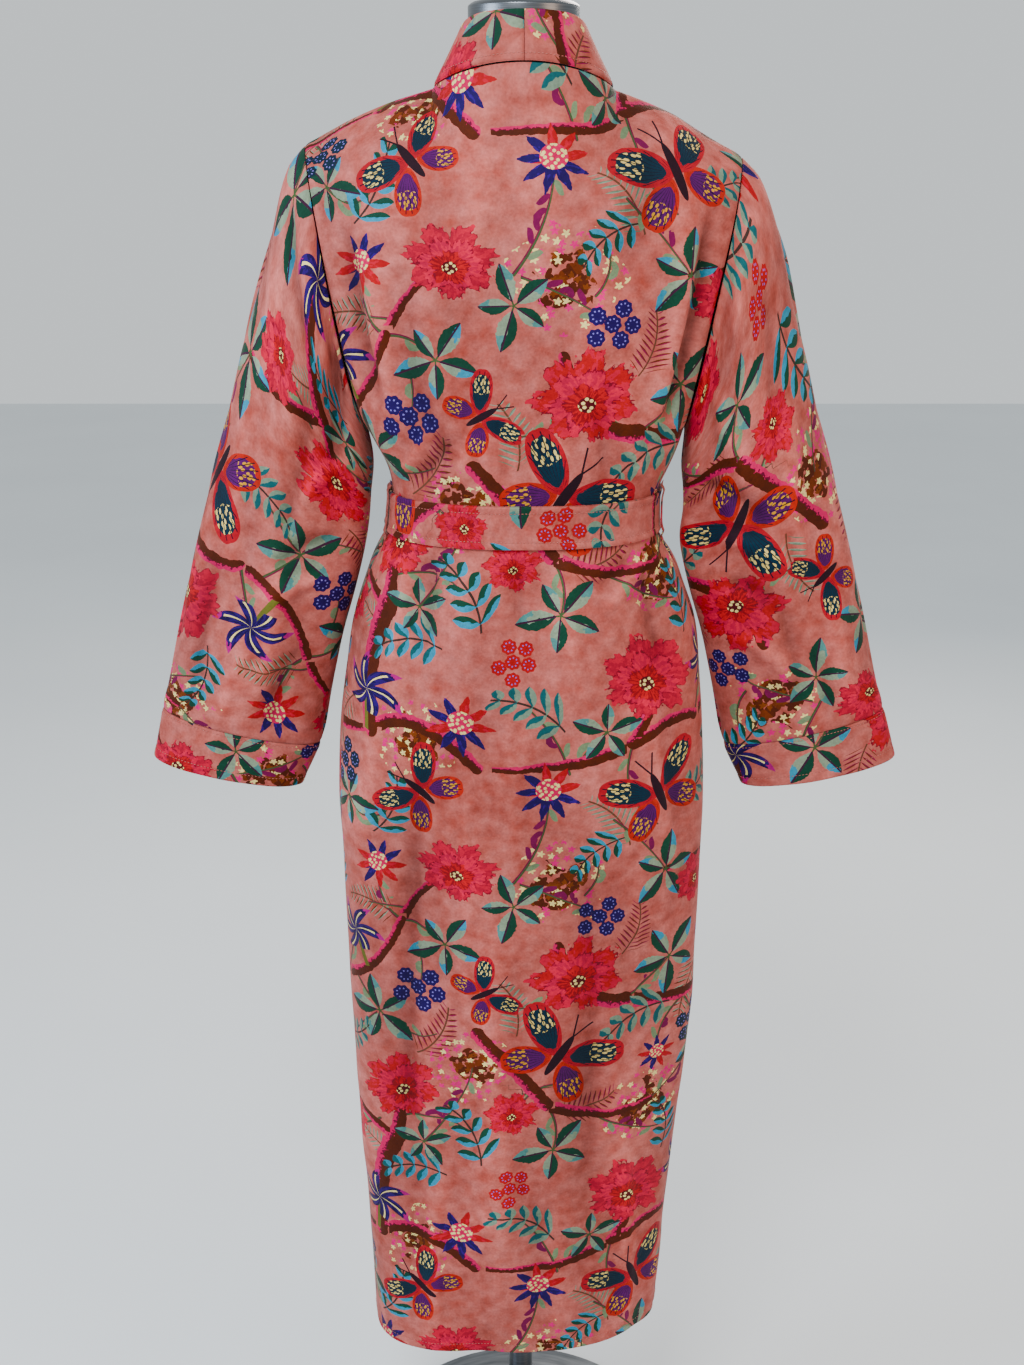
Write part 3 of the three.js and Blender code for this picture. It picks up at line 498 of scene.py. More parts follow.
def sleeve_point(side, turn, row):
    """The sleeve, turned round from its outer edge (0), with rows of SLEEVE."""
    def at(name):
        return read(SLEEVE, SLEEVE_COLUMNS, name, row)

    degrees = np.degrees(turn)
    out = np.zeros(np.broadcast(turn, row).shape)
    for angle, wide, high, middle, reach, lean in SLEEVE_FOLDS[side]:
        away = (degrees - angle - lean * (row - middle) + 540) % 360 - 180
        out = out + high * bell(away / wide) * bell((row - middle) / reach)
    out = out * smooth(row / 1.2) * smooth((CUFF_SEAM_ROW - 0.3 - row) / 1.2)
    half_x = (at("out_x") - at("in_x")) / 2
    half_z = (at("out_z") - at("in_z")) / 2
    along = np.cos(turn) * (1 + out / np.hypot(half_x, half_z))
    x = (at("out_x") + at("in_x")) / 2 + half_x * along
    z = (at("out_z") + at("in_z")) / 2 + half_z * along
    return joined(x * side, (at("deep") + out) * np.sin(turn), z)


def belt_out(angle):
    """How far the belt lies from the body's cloth: over the fronts' layers, it is farther."""
    from_left = (SIDE_SEAM_TURN - angle) % (2 * math.pi)
    from_right = math.pi + 2 * SIDE_SEAM_TURN - from_left
    return lerp(BELT_ON_BACK, BELT_ON_FRONT, smooth(from_left / 0.4) * smooth(from_right / 0.7))


def waist_point(angle, z, distance):
    """A point at a distance outside the body's cloth."""
    return moved(lambda turn, height: body_point(turn, row_at(height)), angle, z, distance, 1)


def hang(points):
    """Moves points by the soft pushes of HANG."""
    dx = np.zeros(points.shape[:-1])
    dz = np.zeros(points.shape[:-1])
    for x, z, wide, high, across, up in HANG:
        part = bell((points[..., 0] - x) / wide) * bell((points[..., 2] - z) / high)
        dx += across * part
        dz += up * part
    return points + np.stack([dx, np.zeros_like(dx), dz], axis=-1)


def normals(points, closed):
    """Unit normals of a grid of points, from its neighbours."""
    if closed:
        across = np.roll(points, -1, axis=1) - np.roll(points, 1, axis=1)
    else:
        across = np.gradient(points, axis=1)
    along = np.gradient(points, axis=0)
    out = np.cross(across, along)
    return out / np.maximum(np.linalg.norm(out, axis=-1, keepdims=True), 1e-9)


def outward(points, closed):
    """The grid's normals, turned away from the middle of the body or the sleeve."""
    out = normals(points, closed)
    middle = points.mean(axis=1, keepdims=True) if closed else np.zeros(3)
    away = (points - middle) * (1, 1, 0)
    return out * (1.0 if np.sum(out * away) > 0 else -1.0)


def distances(points):
    """How far each point of a line is from its first one, along it."""
    return np.concatenate([[0], np.cumsum(np.linalg.norm(np.diff(points, axis=0), axis=1))])


def spaced(curve, low, high):
    """Parameters along a curve one CELL apart, with the close lines of a sewn edge at both ends."""
    at = np.linspace(low, high, 500)
    far = distances(curve(at))
    edge = EDGE_LINES[-1]
    count = max(int(round((far[-1] - 2 * edge) / CELL)), 1)
    inner = np.linspace(edge, far[-1] - edge, count + 1)[1:-1]
    lines = [*EDGE_LINES, *inner, *(far[-1] - line for line in reversed(EDGE_LINES))]
    return np.interp(lines, far, at)


def crease_relief(x, z, table):
    """The sum of soft creases, each a bowed stroke that is steeper on one side and fades at its ends."""
    out = np.zeros(np.broadcast(x, z).shape)
    for x0, z0, x1, z1, bow, wide, high in table:
        length = math.hypot(x1 - x0, z1 - z0)
        ax = (x1 - x0) / length
        az = (z1 - z0) / length
        t = ((x - x0) * ax + (z - z0) * az) / length
        across = (z - z0) * ax - (x - x0) * az - bow * 4 * t * (1 - t)
        steep = np.where(across > 0, wide, wide * 0.6)
        out = out + high * bell(across / steep) * smooth((t + 0.15) / 0.35) * smooth((1.15 - t) / 0.35)
    return out


def undulation(x, z):
    """The slight unevenness of hanging velvet: long shallow waves of several lengths."""
    waves = np.sin(x / 21 + 0.9 * np.sin(z / 83)) * np.sin(z / 61 + 1.3 * np.sin(x / 47))
    return 0.7 * waves + 0.4 * np.sin(x / 11.3 + z / 37) * np.sin(z / 29 - x / 53)


class Sheet:
    """A grid of cloth, with where each point lay on the flat cloth."""

    def __init__(self, surface, us, vs, relief=None, closed=False, hem=None, seams=(), sewn=()):
        u, v = np.meshgrid(us, vs)
        base = hang(surface(u, v))
        self.closed = closed
        self.measure(base)
        out = relief(base, u, v) * cloth_settings().crease if relief else np.zeros(u.shape)
        for edge in seams:
            out = out * smooth(self.from_edge(edge) / SEAM_HOLDS)
        for edge in seams:
            out = out - SEAM_DIP * bell(self.from_edge(edge) / SEAM_SOFT)
        for edge, distance in sewn:
            out = out - STITCH_DIP * bell((self.from_edge(edge) - distance) / STITCH_SOFT)
        if hem:
            out = out + HEM_STEP * smooth((HEM_LINE + 1.5 - self.from_edge(hem)) / 2)
        self.relief = out
        self.points = base + outward(base, closed) * out[..., None]
        self.normals = outward(self.points, closed)

    def measure(self, base):
        """Lays the grid out flat: x across from its middle column, y along from its first row."""
        ring = np.concatenate([base, base[:, :1]], axis=1) if self.closed else base
        across = np.linalg.norm(np.diff(ring, axis=1), axis=-1)
        along = np.linalg.norm(np.diff(base, axis=0), axis=-1)
        x = np.concatenate([np.zeros((len(base), 1)), np.cumsum(across, axis=1)], axis=1)
        self.width = float(x[:, -1].max())
        self.x = x - x[:, [x.shape[1] // 2]]
        y = np.concatenate([[0], np.cumsum(np.median(along, axis=1))])
        self.length = float(y[-1])
        self.y = np.repeat(y[:, None], x.shape[1], axis=1)
        rows = (across[:-1].sum(axis=1) + across[1:].sum(axis=1)) / 2
        self.area = float(np.sum(rows * np.diff(y)))

    def from_edge(self, edge):
        """How far each point is from an edge: low or high across, or start or end along."""
        columns = self.x.shape[1] - (1 if self.closed else 0)
        x = self.x[:, :columns]
        y = self.y[:, :columns]
        return {
            "low": x - x[:, :1],
            "high": x[:, -1:] - x,
            "start": y - y[:1],
            "end": y[-1:] - y,
        }[edge]


def shell(name, sheet, thick, cut, turned):
    """A closed shell of cloth over the sheet, with rounded rims, its flat coordinates and its print. The
    print starts at cut, in millimetres, and runs across a turned piece."""
    rows, columns = sheet.points.shape[:2]
    part = np.ones((rows, columns, 1))
    for k, near in ((1, RIM_NEAR), (0, RIM)):
        part[k] = np.minimum(part[k], near)
        part[-1 - k] = np.minimum(part[-1 - k], near)
        if not sheet.closed:
            part[:, k] = np.minimum(part[:, k], near)
            part[:, -1 - k] = np.minimum(part[:, -1 - k], near)
    half = sheet.normals * part * thick / 2
    vertices = np.concatenate([(sheet.points + half).reshape(-1, 3), (sheet.points - half).reshape(-1, 3)])
    grid = np.arange(rows * columns).reshape(rows, columns)
    if sheet.closed:
        grid = np.concatenate([grid, grid[:, :1]], axis=1)
    flat = np.stack([sheet.x, sheet.y], axis=-1)
    height = np.tile(sheet.relief.reshape(-1), 2)
    under = grid + rows * columns

    def quads(a, b, c, d):
        return np.stack([x.reshape(-1, *x.shape[2:]) for x in (a, b, c, d)], axis=1)

    corners = [(slice(0, -1), slice(0, -1)), (slice(0, -1), slice(1, None))]
    corners += [(slice(1, None), slice(1, None)), (slice(1, None), slice(0, -1))]
    faces = [quads(*(grid[at] for at in corners)), quads(*(under[at] for at in reversed(corners)))]
    places = [quads(*(flat[at] for at in corners)), quads(*(flat[at] for at in reversed(corners)))]
    rims = [(0, slice(None), -1), (-1, slice(None), 1)]
    if not sheet.closed:
        rims += [(slice(None), 0, 1), (slice(None), -1, -1)]
    for row, column_at, turn in rims:
        top, low, place = grid[row, column_at], under[row, column_at], flat[row, column_at]
        ring = np.stack([top[:-1], top[1:], low[1:], low[:-1]], axis=1)
        where = np.stack([place[:-1], place[1:], place[1:], place[:-1]], axis=1)
        faces.append(ring[:, ::-turn])
        places.append(where[:, ::-turn])
    faces = np.concatenate(faces)
    places = np.concatenate(places)
    corner = vertices[faces]
    volume = np.sum(corner[:, 0] * np.cross(corner[:, 1], corner[:, 2]))
    volume += np.sum(corner[:, 0] * np.cross(corner[:, 2], corner[:, 3]))
    if volume < 0:
        faces = faces[:, ::-1]
        places = places[:, ::-1]
    if turned:
        places = places[..., ::-1] * (1, -1)
    obj = new_object(name, vertices * MM, faces)
    lay_flat(obj.data, places + cut)
    # The relief is stored for the velvet's painted crease shade and painted ridge highlight
    store_relief(obj.data, height)
    return obj


def store_relief(mesh, height):
    """Stores how far each point stands out of the smooth cloth, in millimetres, for the velvet's painted
    crease shade.
    """
    relief = mesh.attributes.new("relief", "FLOAT", "POINT")
    relief.data.foreach_set("value", height.astype(np.float32))


def new_object(name, vertices, faces):
    """A smooth mesh object in the scene."""
    mesh = bpy.data.meshes.new(name)
    mesh.from_pydata(vertices.tolist(), [], faces.tolist())
    mesh.shade_smooth()
    obj = bpy.data.objects.new(name, mesh)
    bpy.context.scene.collection.objects.link(obj)
    return obj


# Soft creases as seen from behind and from in front: two ends, bow, width and how far they stand out.
# x is towards the wearer's left, in millimetres.
BACK_CREASES = [
    (-163, 1440, -132, 1275, -6, 8, -4.0), (-143, 1428, -117, 1262, -5, 9, 2.6),
    (152, 1430, 130, 1290, 4, 9, -3.0), (130, 1400, 110, 1262, 4, 11, 2.0),
    (112, 1218, 84, 1262, 3, 6, 2.2), (96, 1214, 66, 1250, 2, 6, -1.8), (62, 1215, 48, 1256, 2, 7, 1.5),
    (20, 1214, 26, 1270, 2, 8, -1.2), (-34, 1214, -28, 1262, 0, 7, 1.4),
    (-72, 1215, -62, 1275, 3, 8, -1.6), (-104, 1215, -88, 1262, 3, 6, 2.0),
    (100, 1395, 74, 1240, 9, 17, -2.0), (-60, 1400, -48, 1250, -6, 16, 1.6),
    (30, 1500, 44, 1380, 4, 20, 1.2), (-110, 1490, -84, 1390, -4, 15, -1.2),
    (108, 1140, 122, 1040, -4, 7, 2.0), (84, 1141, 92, 1050, -3, 7, -1.7),
    (52, 1140, 50, 1060, 2, 8, 1.5), (6, 1141, 2, 1075, 0, 8, -1.3), (-40, 1140, -46, 1050, 2, 8, 1.4),
    (-78, 1100, -113, 1142, 3, 7, 2.6), (-62, 1120, -98, 1140, 3, 6, -1.6),
    (-112, 1130, -134, 1030, 3, 7, -1.8), (127, 960, 128, 560, 3, 2.2, 0.9),
    (53, 1010, 53, 420, 2, 2.0, 0.8), (-116, 980, -118, 460, 3, 2.2, 0.8),
    (100, 900, 112, 520, 6, 15, -2.2), (24, 760, 18, 380, 5, 18, 1.8),
    (-60, 860, -70, 440, -6, 17, -2.0), (84, 470, 96, 262, 4, 12, 1.8),
    (-20, 440, -28, 256, 3, 14, -1.4), (-104, 520, -116, 262, -4, 11, 1.8),
    (120, 429, 20, 424, 2, 2.4, 0.6), (10, 412, -80, 408, -2, 2.4, 0.6),
    (-120, 1010, -150, 830, 6, 12, 2.0), (140, 1030, 158, 850, -6, 12, 2.0),
]
FRONT_CREASES = [
    (-150, 1420, -130, 1270, 5, 10, -3.2), (148, 1420, 128, 1275, -5, 10, -3.0),
    (-110, 1216, -84, 1268, 3, 7, 2.2), (-66, 1215, -52, 1262, 2, 7, -1.6),
    (96, 1215, 78, 1262, 2, 7, 2.0), (60, 1216, 50, 1280, 3, 8, -1.5),
    (118, 1330, 60, 1225, 10, 14, -2.0), (-118, 1330, -58, 1228, -10, 15, 1.8),
    (-104, 1140, -116, 1040, 3, 7, 2.0), (-70, 1140, -76, 1052, 2, 8, -1.6),
    (100, 1140, 112, 1046, -4, 8, 1.9), (66, 1140, 70, 1060, 2, 8, -1.5),
    (-96, 900, -104, 480, 5, 15, -2.2), (90, 860, 96, 420, -6, 16, 2.0),
    (-128, 560, -134, 262, 3, 11, 1.8), (120, 520, 124, 262, -4, 12, -1.7),
    (-24, 780, -36, 400, 5, 18, 1.6), (44, 700, 40, 330, -4, 17, -1.6),
    (-140, 1000, -158, 820, -5, 12, 1.9), (138, 1010, 160, 830, 5, 12, 1.8),
]
# The same on the back half and the front half of each sleeve, with x as its distance from the middle.
SLEEVE_CREASES = {
    (1, 1): [
        (205, 1446, 193, 1338, 4, 6, -2.4), (186, 1415, 176, 1300, 4, 8, 2.2),
        (222, 1400, 238, 1290, -5, 10, 2.0), (168, 1330, 176, 1215, -6, 9, -3.0),
        (196, 1290, 222, 1160, -7, 10, -2.2), (166, 1222, 208, 1180, 5, 8, 2.4),
        (252, 1270, 272, 1120, 5, 11, 1.8), (176, 1150, 236, 1120, 6, 8, -2.2),
        (188, 1110, 250, 1078, 6, 9, 2.0), (230, 1120, 262, 985, -6, 10, 2.0),
        (292, 1120, 318, 985, 5, 11, -2.0), (214, 1040, 248, 960, 4, 9, -1.8),
        (262, 1050, 300, 965, -4, 9, 1.4),
    ],
    (1, -1): [
        (200, 1440, 190, 1340, -4, 8, 2.2), (164, 1400, 156, 1270, 2, 9, 3.0),
        (214, 1380, 226, 1270, 4, 9, -1.6), (176, 1290, 214, 1200, -6, 9, 2.2),
        (168, 1200, 228, 1165, 6, 9, -2.6), (186, 1150, 250, 1118, 6, 8, 2.4),
        (244, 1260, 268, 1120, -5, 11, 1.8), (194, 1106, 236, 1084, 4, 8, -2.2),
        (202, 1052, 262, 1012, 6, 9, 2.2), (236, 1100, 268, 980, 6, 10, -1.8),
        (296, 1100, 322, 980, -4, 11, 1.8), (222, 1010, 250, 955, -3, 8, 1.6),
        (276, 1040, 300, 970, 4, 9, -1.4),
    ],
    (-1, 1): [
        (200, 1430, 184, 1300, 4, 9, 2.0), (230, 1380, 248, 1240, 5, 12, -1.8),
        (178, 1280, 224, 1190, 6, 10, -2.2), (262, 1200, 292, 1060, -6, 12, 1.8),
        (190, 1130, 246, 1096, -5, 9, 2.0), (232, 1080, 262, 965, 5, 10, -1.8),
    ],
    (-1, -1): [
        (198, 1430, 182, 1290, -4, 9, 2.0), (232, 1370, 250, 1230, 5, 12, -1.8),
        (180, 1270, 228, 1180, -6, 10, 2.0), (264, 1190, 290, 1050, 6, 12, -1.8),
        (196, 1120, 250, 1084, 5, 9, 2.0), (236, 1070, 266, 965, -5, 10, 1.6),
    ],
}


def body_relief(points, u, v):
    """Creases of the body cloth, none under the belt, where it is held flat."""
    x = points[..., 0]
    z = points[..., 2]
    back = np.mean(points[..., 1]) > 0
    out = crease_relief(x, z, BACK_CREASES if back else FRONT_CREASES) + undulation(x, z)
    held = smooth((np.abs(z - BELT_Z) - BELT_WIDE / 2 - 2) / 14)
    return out * held * smooth((1562 - z) / 40)


def sleeve_relief(side):
    """Creases of a sleeve, behind and before, that fade at the armhole and the cuff."""
    def relief(points, turn, row):
        x = points[..., 0] * side
        z = points[..., 2]
        behind = crease_relief(x, z, SLEEVE_CREASES[1, side])
        before = crease_relief(x, z, SLEEVE_CREASES[-1, side])
        out = np.where(np.sin(turn) > 0, behind, before) * smooth(np.abs(np.sin(turn)) * 2.2)
        out = out + undulation(x * 1.3 + np.where(np.sin(turn) > 0, 0, 300), z)
        return out * smooth(row / 0.7) * smooth((CUFF_SEAM_ROW - row) / 0.4)

    return relief


def along_body(surface, at):
    """Rows of the body cloth, close together at the hem and the top edge."""
    return spaced(lambda row: surface(np.full_like(row, at), row), 0.0, 3.0)


def build_back():
    rows = along_body(back_point, 0.32)
    us = spaced(lambda u: back_point(u, np.full_like(u, row_at(1330))), 0.0, 1.0)
    return Sheet(back_point, us, rows, body_relief, hem="start", seams=("low", "high", "end"))


def build_front(side):
    surface = partial(front_point, side)
    rows = along_body(surface, 0.5)
    us = spaced(lambda u: surface(u, np.full_like(u, row_at(1100))), 0.0, 1.0)
    return Sheet(surface, us, rows, body_relief, hem="start", seams=("low", "high", "end"))


def build_neckband(side):
    surface = partial(neckband_point, side)

    def relief(points, across, station):
        return body_relief(points, across, station) * smooth((station - 2.0) / 0.05)

    us = spaced(lambda u: surface(u, np.full_like(u, 1.0)), 0.0, 1.0)
    stations = spaced(lambda s: surface(np.full_like(s, 0.5), s), 0.002, 3.0)
    return Sheet(surface, us, stations, relief, hem="end", seams=("low", "start"),
                 sewn=[("low", STITCH_LINE)])


def sleeve_grid(side, first, last):
    """The surface of a stretch of sleeve, its columns from the underarm round, and its rows."""
    surface = partial(sleeve_point, side)
    turns = np.linspace(0, math.tau, SLEEVE_SIDES, endpoint=False) + math.pi
    rows = spaced(lambda row: surface(np.full_like(row, 1.2), row), first, last)
    return surface, turns, rows


def build_sleeve(side):
    grid = sleeve_grid(side, 0.0, CUFF_SEAM_ROW)
    return Sheet(*grid, sleeve_relief(side), closed=True, seams=("start", "end"))


def build_cuff(side):
    def relief(points, turn, row):
        return undulation(points[..., 0] * 1.2, points[..., 2]) * 0.6

    grid = sleeve_grid(side, CUFF_START_ROW, CUFF_END_ROW)
    return Sheet(*grid, relief, closed=True, hem="end", seams=("start",),
                 sewn=(("start", EDGE_LINES[3]), ("end", HEM_LINE)))


def build_belt():
    """The belt round the waist, over the back and both fronts."""
    def surface(angle, z):
        return waist_point(angle, z, belt_out(angle))

    low = BELT_Z - BELT_WIDE / 2
    turns = np.linspace(0, math.tau, BELT_SIDES, endpoint=False)
    heights = spaced(lambda z: surface(np.full_like(z, 1.5), z), low, low + BELT_WIDE)

    def relief(points, angle, z):
        return np.maximum(undulation(points[..., 0] * 1.5, z * 2), -0.4) * 0.35

    return Sheet(surface, turns, heights, relief, closed=True,
                 sewn=[(edge, STITCH_LINE) for edge in ("start", "end")])


def build_tail(x, spread):
    """A hanging end of the belt, x from the middle at its top and spread farther out at its end."""
    top = BELT_Z - BELT_WIDE / 2 - 5
    bottom = top - TAIL_LONG

    def surface(across, z):
        down = (top - z) / TAIL_LONG
        angle = front_angle(x + spread * down + across, z, row_half(row_at(z)))
        return waist_point(angle, z, BELT_ON_FRONT + 0.2)

    us = spaced(lambda u: surface(u, np.full_like(u, 1000.0)), -BELT_WIDE / 2, BELT_WIDE / 2)
    heights = spaced(lambda z: surface(np.full_like(z, 0.0), z), bottom, top)
    edges = ("low", "high", "start")
    return Sheet(surface, us, heights, body_relief, sewn=[(edge, STITCH_LINE) for edge in edges])


def build_loop(side):
    """A belt loop at a side seam, clear of the belt and sewn down above and below it."""
    near = CLOTH / 2 + 2 * SEAM + 0.75
    far = BELT_ON_BACK + BAND / 2 + SEAM + 0.75 + 0.6

    def surface(across, z):
        clear = smooth((BELT_WIDE / 2 + 6 - np.abs(z - BELT_Z)) / 5)
        turn = SIDE_SEAM_TURN + across / row_half(row_at(z))
        return waist_point(turn if side > 0 else math.pi - turn, z, lerp(near, far, clear))

    return Sheet(surface, np.linspace(0, LOOP_WIDE, 7), np.linspace(*LOOP_ENDS, 30))


# The print on the flat cloth repeats in a half drop: each repeat across starts half a repeat higher.
# The layout is drawn loose, at 440 mm across, and pushed together by this much.
CROWDING = 0.88
TILE_WIDE = 440.0 * CROWDING
TILE_HIGH = 660.0 * CROWDING
MOTIF_COLUMNS = ("kind", "x", "y", "turn", "size", "squash", "tint")
MOTIFS = [
    ("peony", 92, 600, 12, 47, 0.86, 0.15), ("peony", 168, 292, -20, 48, 0.8, 0.7),
    ("peony", 326, 112, 24, 43, 0.84, 0.35), ("peony", 398, 402, -8, 40, 0.78, 0.9),
    ("peony", 244, 36, 40, 28, 0.9, 0.55), ("peony", 20, 420, 0, 27, 0.9, 0.2),
    ("star", 58, 168, 10, 31, 0.9, 0.1), ("star", 304, 398, 30, 29, 0.85, 0.5),
    ("star", 402, 574, -14, 32, 0.9, 0.8), ("star", 196, 478, 5, 22, 0.9, 0.3),
    ("lily", 262, 300, 14, 42, 0.8, 0.2), ("lily", 296, 604, -16, 42, 0.82, 0.7),
    ("butterfly", 182, 158, 24, 56, 1.0, 0.1), ("butterfly", 74, 496, -34, 62, 1.0, 0.5),
    ("butterfly", 356, 494, 52, 46, 1.0, 0.8), ("butterfly", 428, 250, -60, 38, 1.0, 0.3),
    ("leaves", 196, 60, -150, 44, 1.0, 0.2), ("leaves", 300, 206, 160, 46, 1.0, 0.6),
    ("leaves", 382, 306, 110, 42, 1.0, 0.1), ("leaves", 70, 366, 30, 44, 1.0, 0.9),
    ("leaves", 206, 606, -40, 46, 1.0, 0.4), ("leaves", 120, 236, 70, 36, 1.0, 0.7),
    ("leaves", 262, 470, 190, 38, 1.0, 0.3), ("leaves", 20, 30, 20, 40, 1.0, 0.8),
    ("leaves", 356, 40, -70, 34, 1.0, 0.5),
    ("spray", 410, 60, 30, 52, 0.8, 0.1), ("spray", 38, 262, 66, 50, 0.8, 0.6),
    ("spray", 166, 534, 112, 52, 0.8, 0.9), ("spray", 320, 470, -24, 46, 0.8, 0.3),
    ("spray", 252, 160, -64, 44, 0.8, 0.75), ("spray", 344, 660, 96, 46, 0.8, 0.45),
    ("spray", 112, 92, 128, 40, 0.8, 0.2), ("spray", 214, 372, 10, 44, 0.8, 0.05),
    ("fern", 130, 132, 40, 44, 0.8, 0.2), ("fern", 372, 190, -30, 44, 0.8, 0.8),
    ("fern", 240, 556, 150, 46, 0.8, 0.5), ("fern", 20, 560, 16, 42, 0.8, 0.1),
    ("fern", 110, 424, -72, 40, 0.8, 0.9), ("fern", 290, 346, 84, 40, 0.8, 0.35),
    ("fern", 160, 650, -16, 38, 0.8, 0.65), ("fern", 300, 20, 60, 38, 0.8, 0.1),
    ("blossom", 70, 56, 0, 48, 0.9, 0.1), ("blossom", 186, 412, 40, 46, 0.9, 0.45),
    ("blossom", 352, 556, 80, 40, 0.9, 0.8), ("blossom", 414, 150, 20, 44, 0.9, 0.3),
    ("berries", 350, 246, 0, 32, 1.0, 0.1), ("berries", 250, 508, 30, 30, 1.0, 0.5),
    ("berries", 20, 316, 60, 26, 1.0, 0.9), ("berries", 118, 12, 10, 28, 1.0, 0.3),
]
# Stems and boughs on the same tile: kind, three points of a bent stroke, half its width at both ends.
STROKES = [
    ("bough", -20, 196, 80, 190, 150, 222, 2, 6), ("bough", 150, 222, 214, 250, 236, 236, 6, 4),
    ("bough", 150, 222, 176, 262, 168, 292, 5, 3), ("bough", 236, 236, 300, 250, 330, 330, 5, 3.5),
    ("bough", 330, 330, 352, 380, 398, 402, 4, 2.5), ("bough", 300, 560, 230, 540, 150, 560, 3, 7),
    ("bough", 150, 560, 90, 560, 70, 640, 7, 4), ("bough", 300, 560, 350, 600, 420, 526, 6, 5),
    ("bough", 300, 560, 290, 640, 320, 700, 7, 9), ("bough", 320, 40, 330, 80, 326, 112, 7, 3),
    ("bough", 320, 40, 270, 70, 196, 60, 5, 2.5), ("bough", 60, 430, 110, 400, 190, 414, 6, 3),
    ("bough", 60, 430, 40, 460, -20, 526, 6, 6),
    ("twig", 236, 236, 250, 270, 262, 300, 2, 1.2), ("twig", 150, 222, 130, 160, 182, 120, 1.6, 1),
    ("twig", 80, 190, 70, 230, 38, 262, 1.6, 1), ("twig", 262, 243, 290, 220, 300, 206, 1.8, 1),
    ("twig", 330, 330, 360, 330, 382, 306, 1.8, 1), ("twig", 330, 330, 300, 350, 304, 398, 1.8, 1),
    ("twig", 150, 560, 190, 590, 206, 606, 1.8, 1), ("twig", 230, 546, 250, 520, 250, 508, 1.4, 1),
    ("twig", 230, 546, 190, 520, 196, 478, 1.6, 1), ("twig", 90, 580, 60, 560, 20, 560, 1.4, 0.8),
    ("twig", 300, 600, 300, 590, 296, 604, 1.8, 1), ("twig", 350, 578, 370, 570, 402, 574, 1.6, 1),
    ("twig", 326, 70, 380, 90, 410, 60, 1.6, 0.8), ("twig", 300, 60, 250, 20, 244, 36, 1.6, 0.8),
    ("twig", 60, 430, 80, 400, 70, 366, 1.8, 1), ("twig", 120, 408, 180, 370, 214, 372, 1.5, 0.8),
    ("twig", 40, 450, 60, 470, 20, 420, 1.5, 0.8), ("twig", 350, 300, 360, 270, 350, 246, 1.4, 0.8),
    ("twig", 100, 40, 120, 60, 112, 92, 1.4, 0.8), ("twig", 20, 60, 60, 110, 58, 168, 1.8, 0.9),
    ("twig", 20, 60, 80, 40, 118, 12, 1.5, 0.8), ("twig", 356, 40, 410, 110, 414, 150, 1.5, 0.8),
    ("twig", 262, 470, 300, 440, 320, 470, 1.5, 0.8), ("twig", 262, 470, 230, 440, 186, 412, 1.5, 0.8),
    ("twig", 130, 132, 170, 100, 196, 60, 1.4, 0.8), ("twig", 120, 236, 100, 220, 80, 190, 1.5, 0.8),
    ("twig", 166, 534, 150, 560, 120, 575, 1.0, 1.6), ("twig", 290, 346, 320, 350, 335, 345, 0.8, 1.4),
    ("twig", 372, 190, 330, 170, 300, 206, 0.8, 1.4), ("twig", 252, 160, 280, 190, 300, 206, 0.8, 1.4),
]


def in_tile(offset):
    """An offset on the flat cloth, brought to the nearest repeat of the print."""
    across = np.round(offset[..., 0] / TILE_WIDE)
    x = offset[..., 0] - across * TILE_WIDE
    y = offset[..., 1] - across * TILE_HIGH / 2
    return np.stack([x, y - np.round(y / TILE_HIGH) * TILE_HIGH], axis=-1)


def motif_places(kind, corners, centres):
    """Each face corner's place in the nearest motif of a kind: x, y in the motif's size, and its tint."""
    rows = [dict(zip(MOTIF_COLUMNS, row)) for row in MOTIFS if row[0] == kind]
    at = np.array([(row["x"], row["y"]) for row in rows]) * CROWDING
    size = np.array([row["size"] for row in rows])
    turn = np.radians([row["turn"] for row in rows])
    squash = np.array([row["squash"] for row in rows])
    tint = np.array([row["tint"] for row in rows])
    offset = in_tile(centres[:, None, :] - at)
    near = np.argmin(np.hypot(offset[..., 0], offset[..., 1]) / size, axis=1)
    middle = offset[np.arange(len(near)), near]
    place = corners - centres[:, None, :] + middle[:, None, :]
    c = np.cos(turn)[near, None]
    s = np.sin(turn)[near, None]
    x = (place[..., 0] * c + place[..., 1] * s) / size[near, None]
    y = (place[..., 1] * c - place[..., 0] * s) / (size * squash)[near, None]
    return np.stack([x, y, np.broadcast_to(tint[near, None], x.shape)], axis=-1)


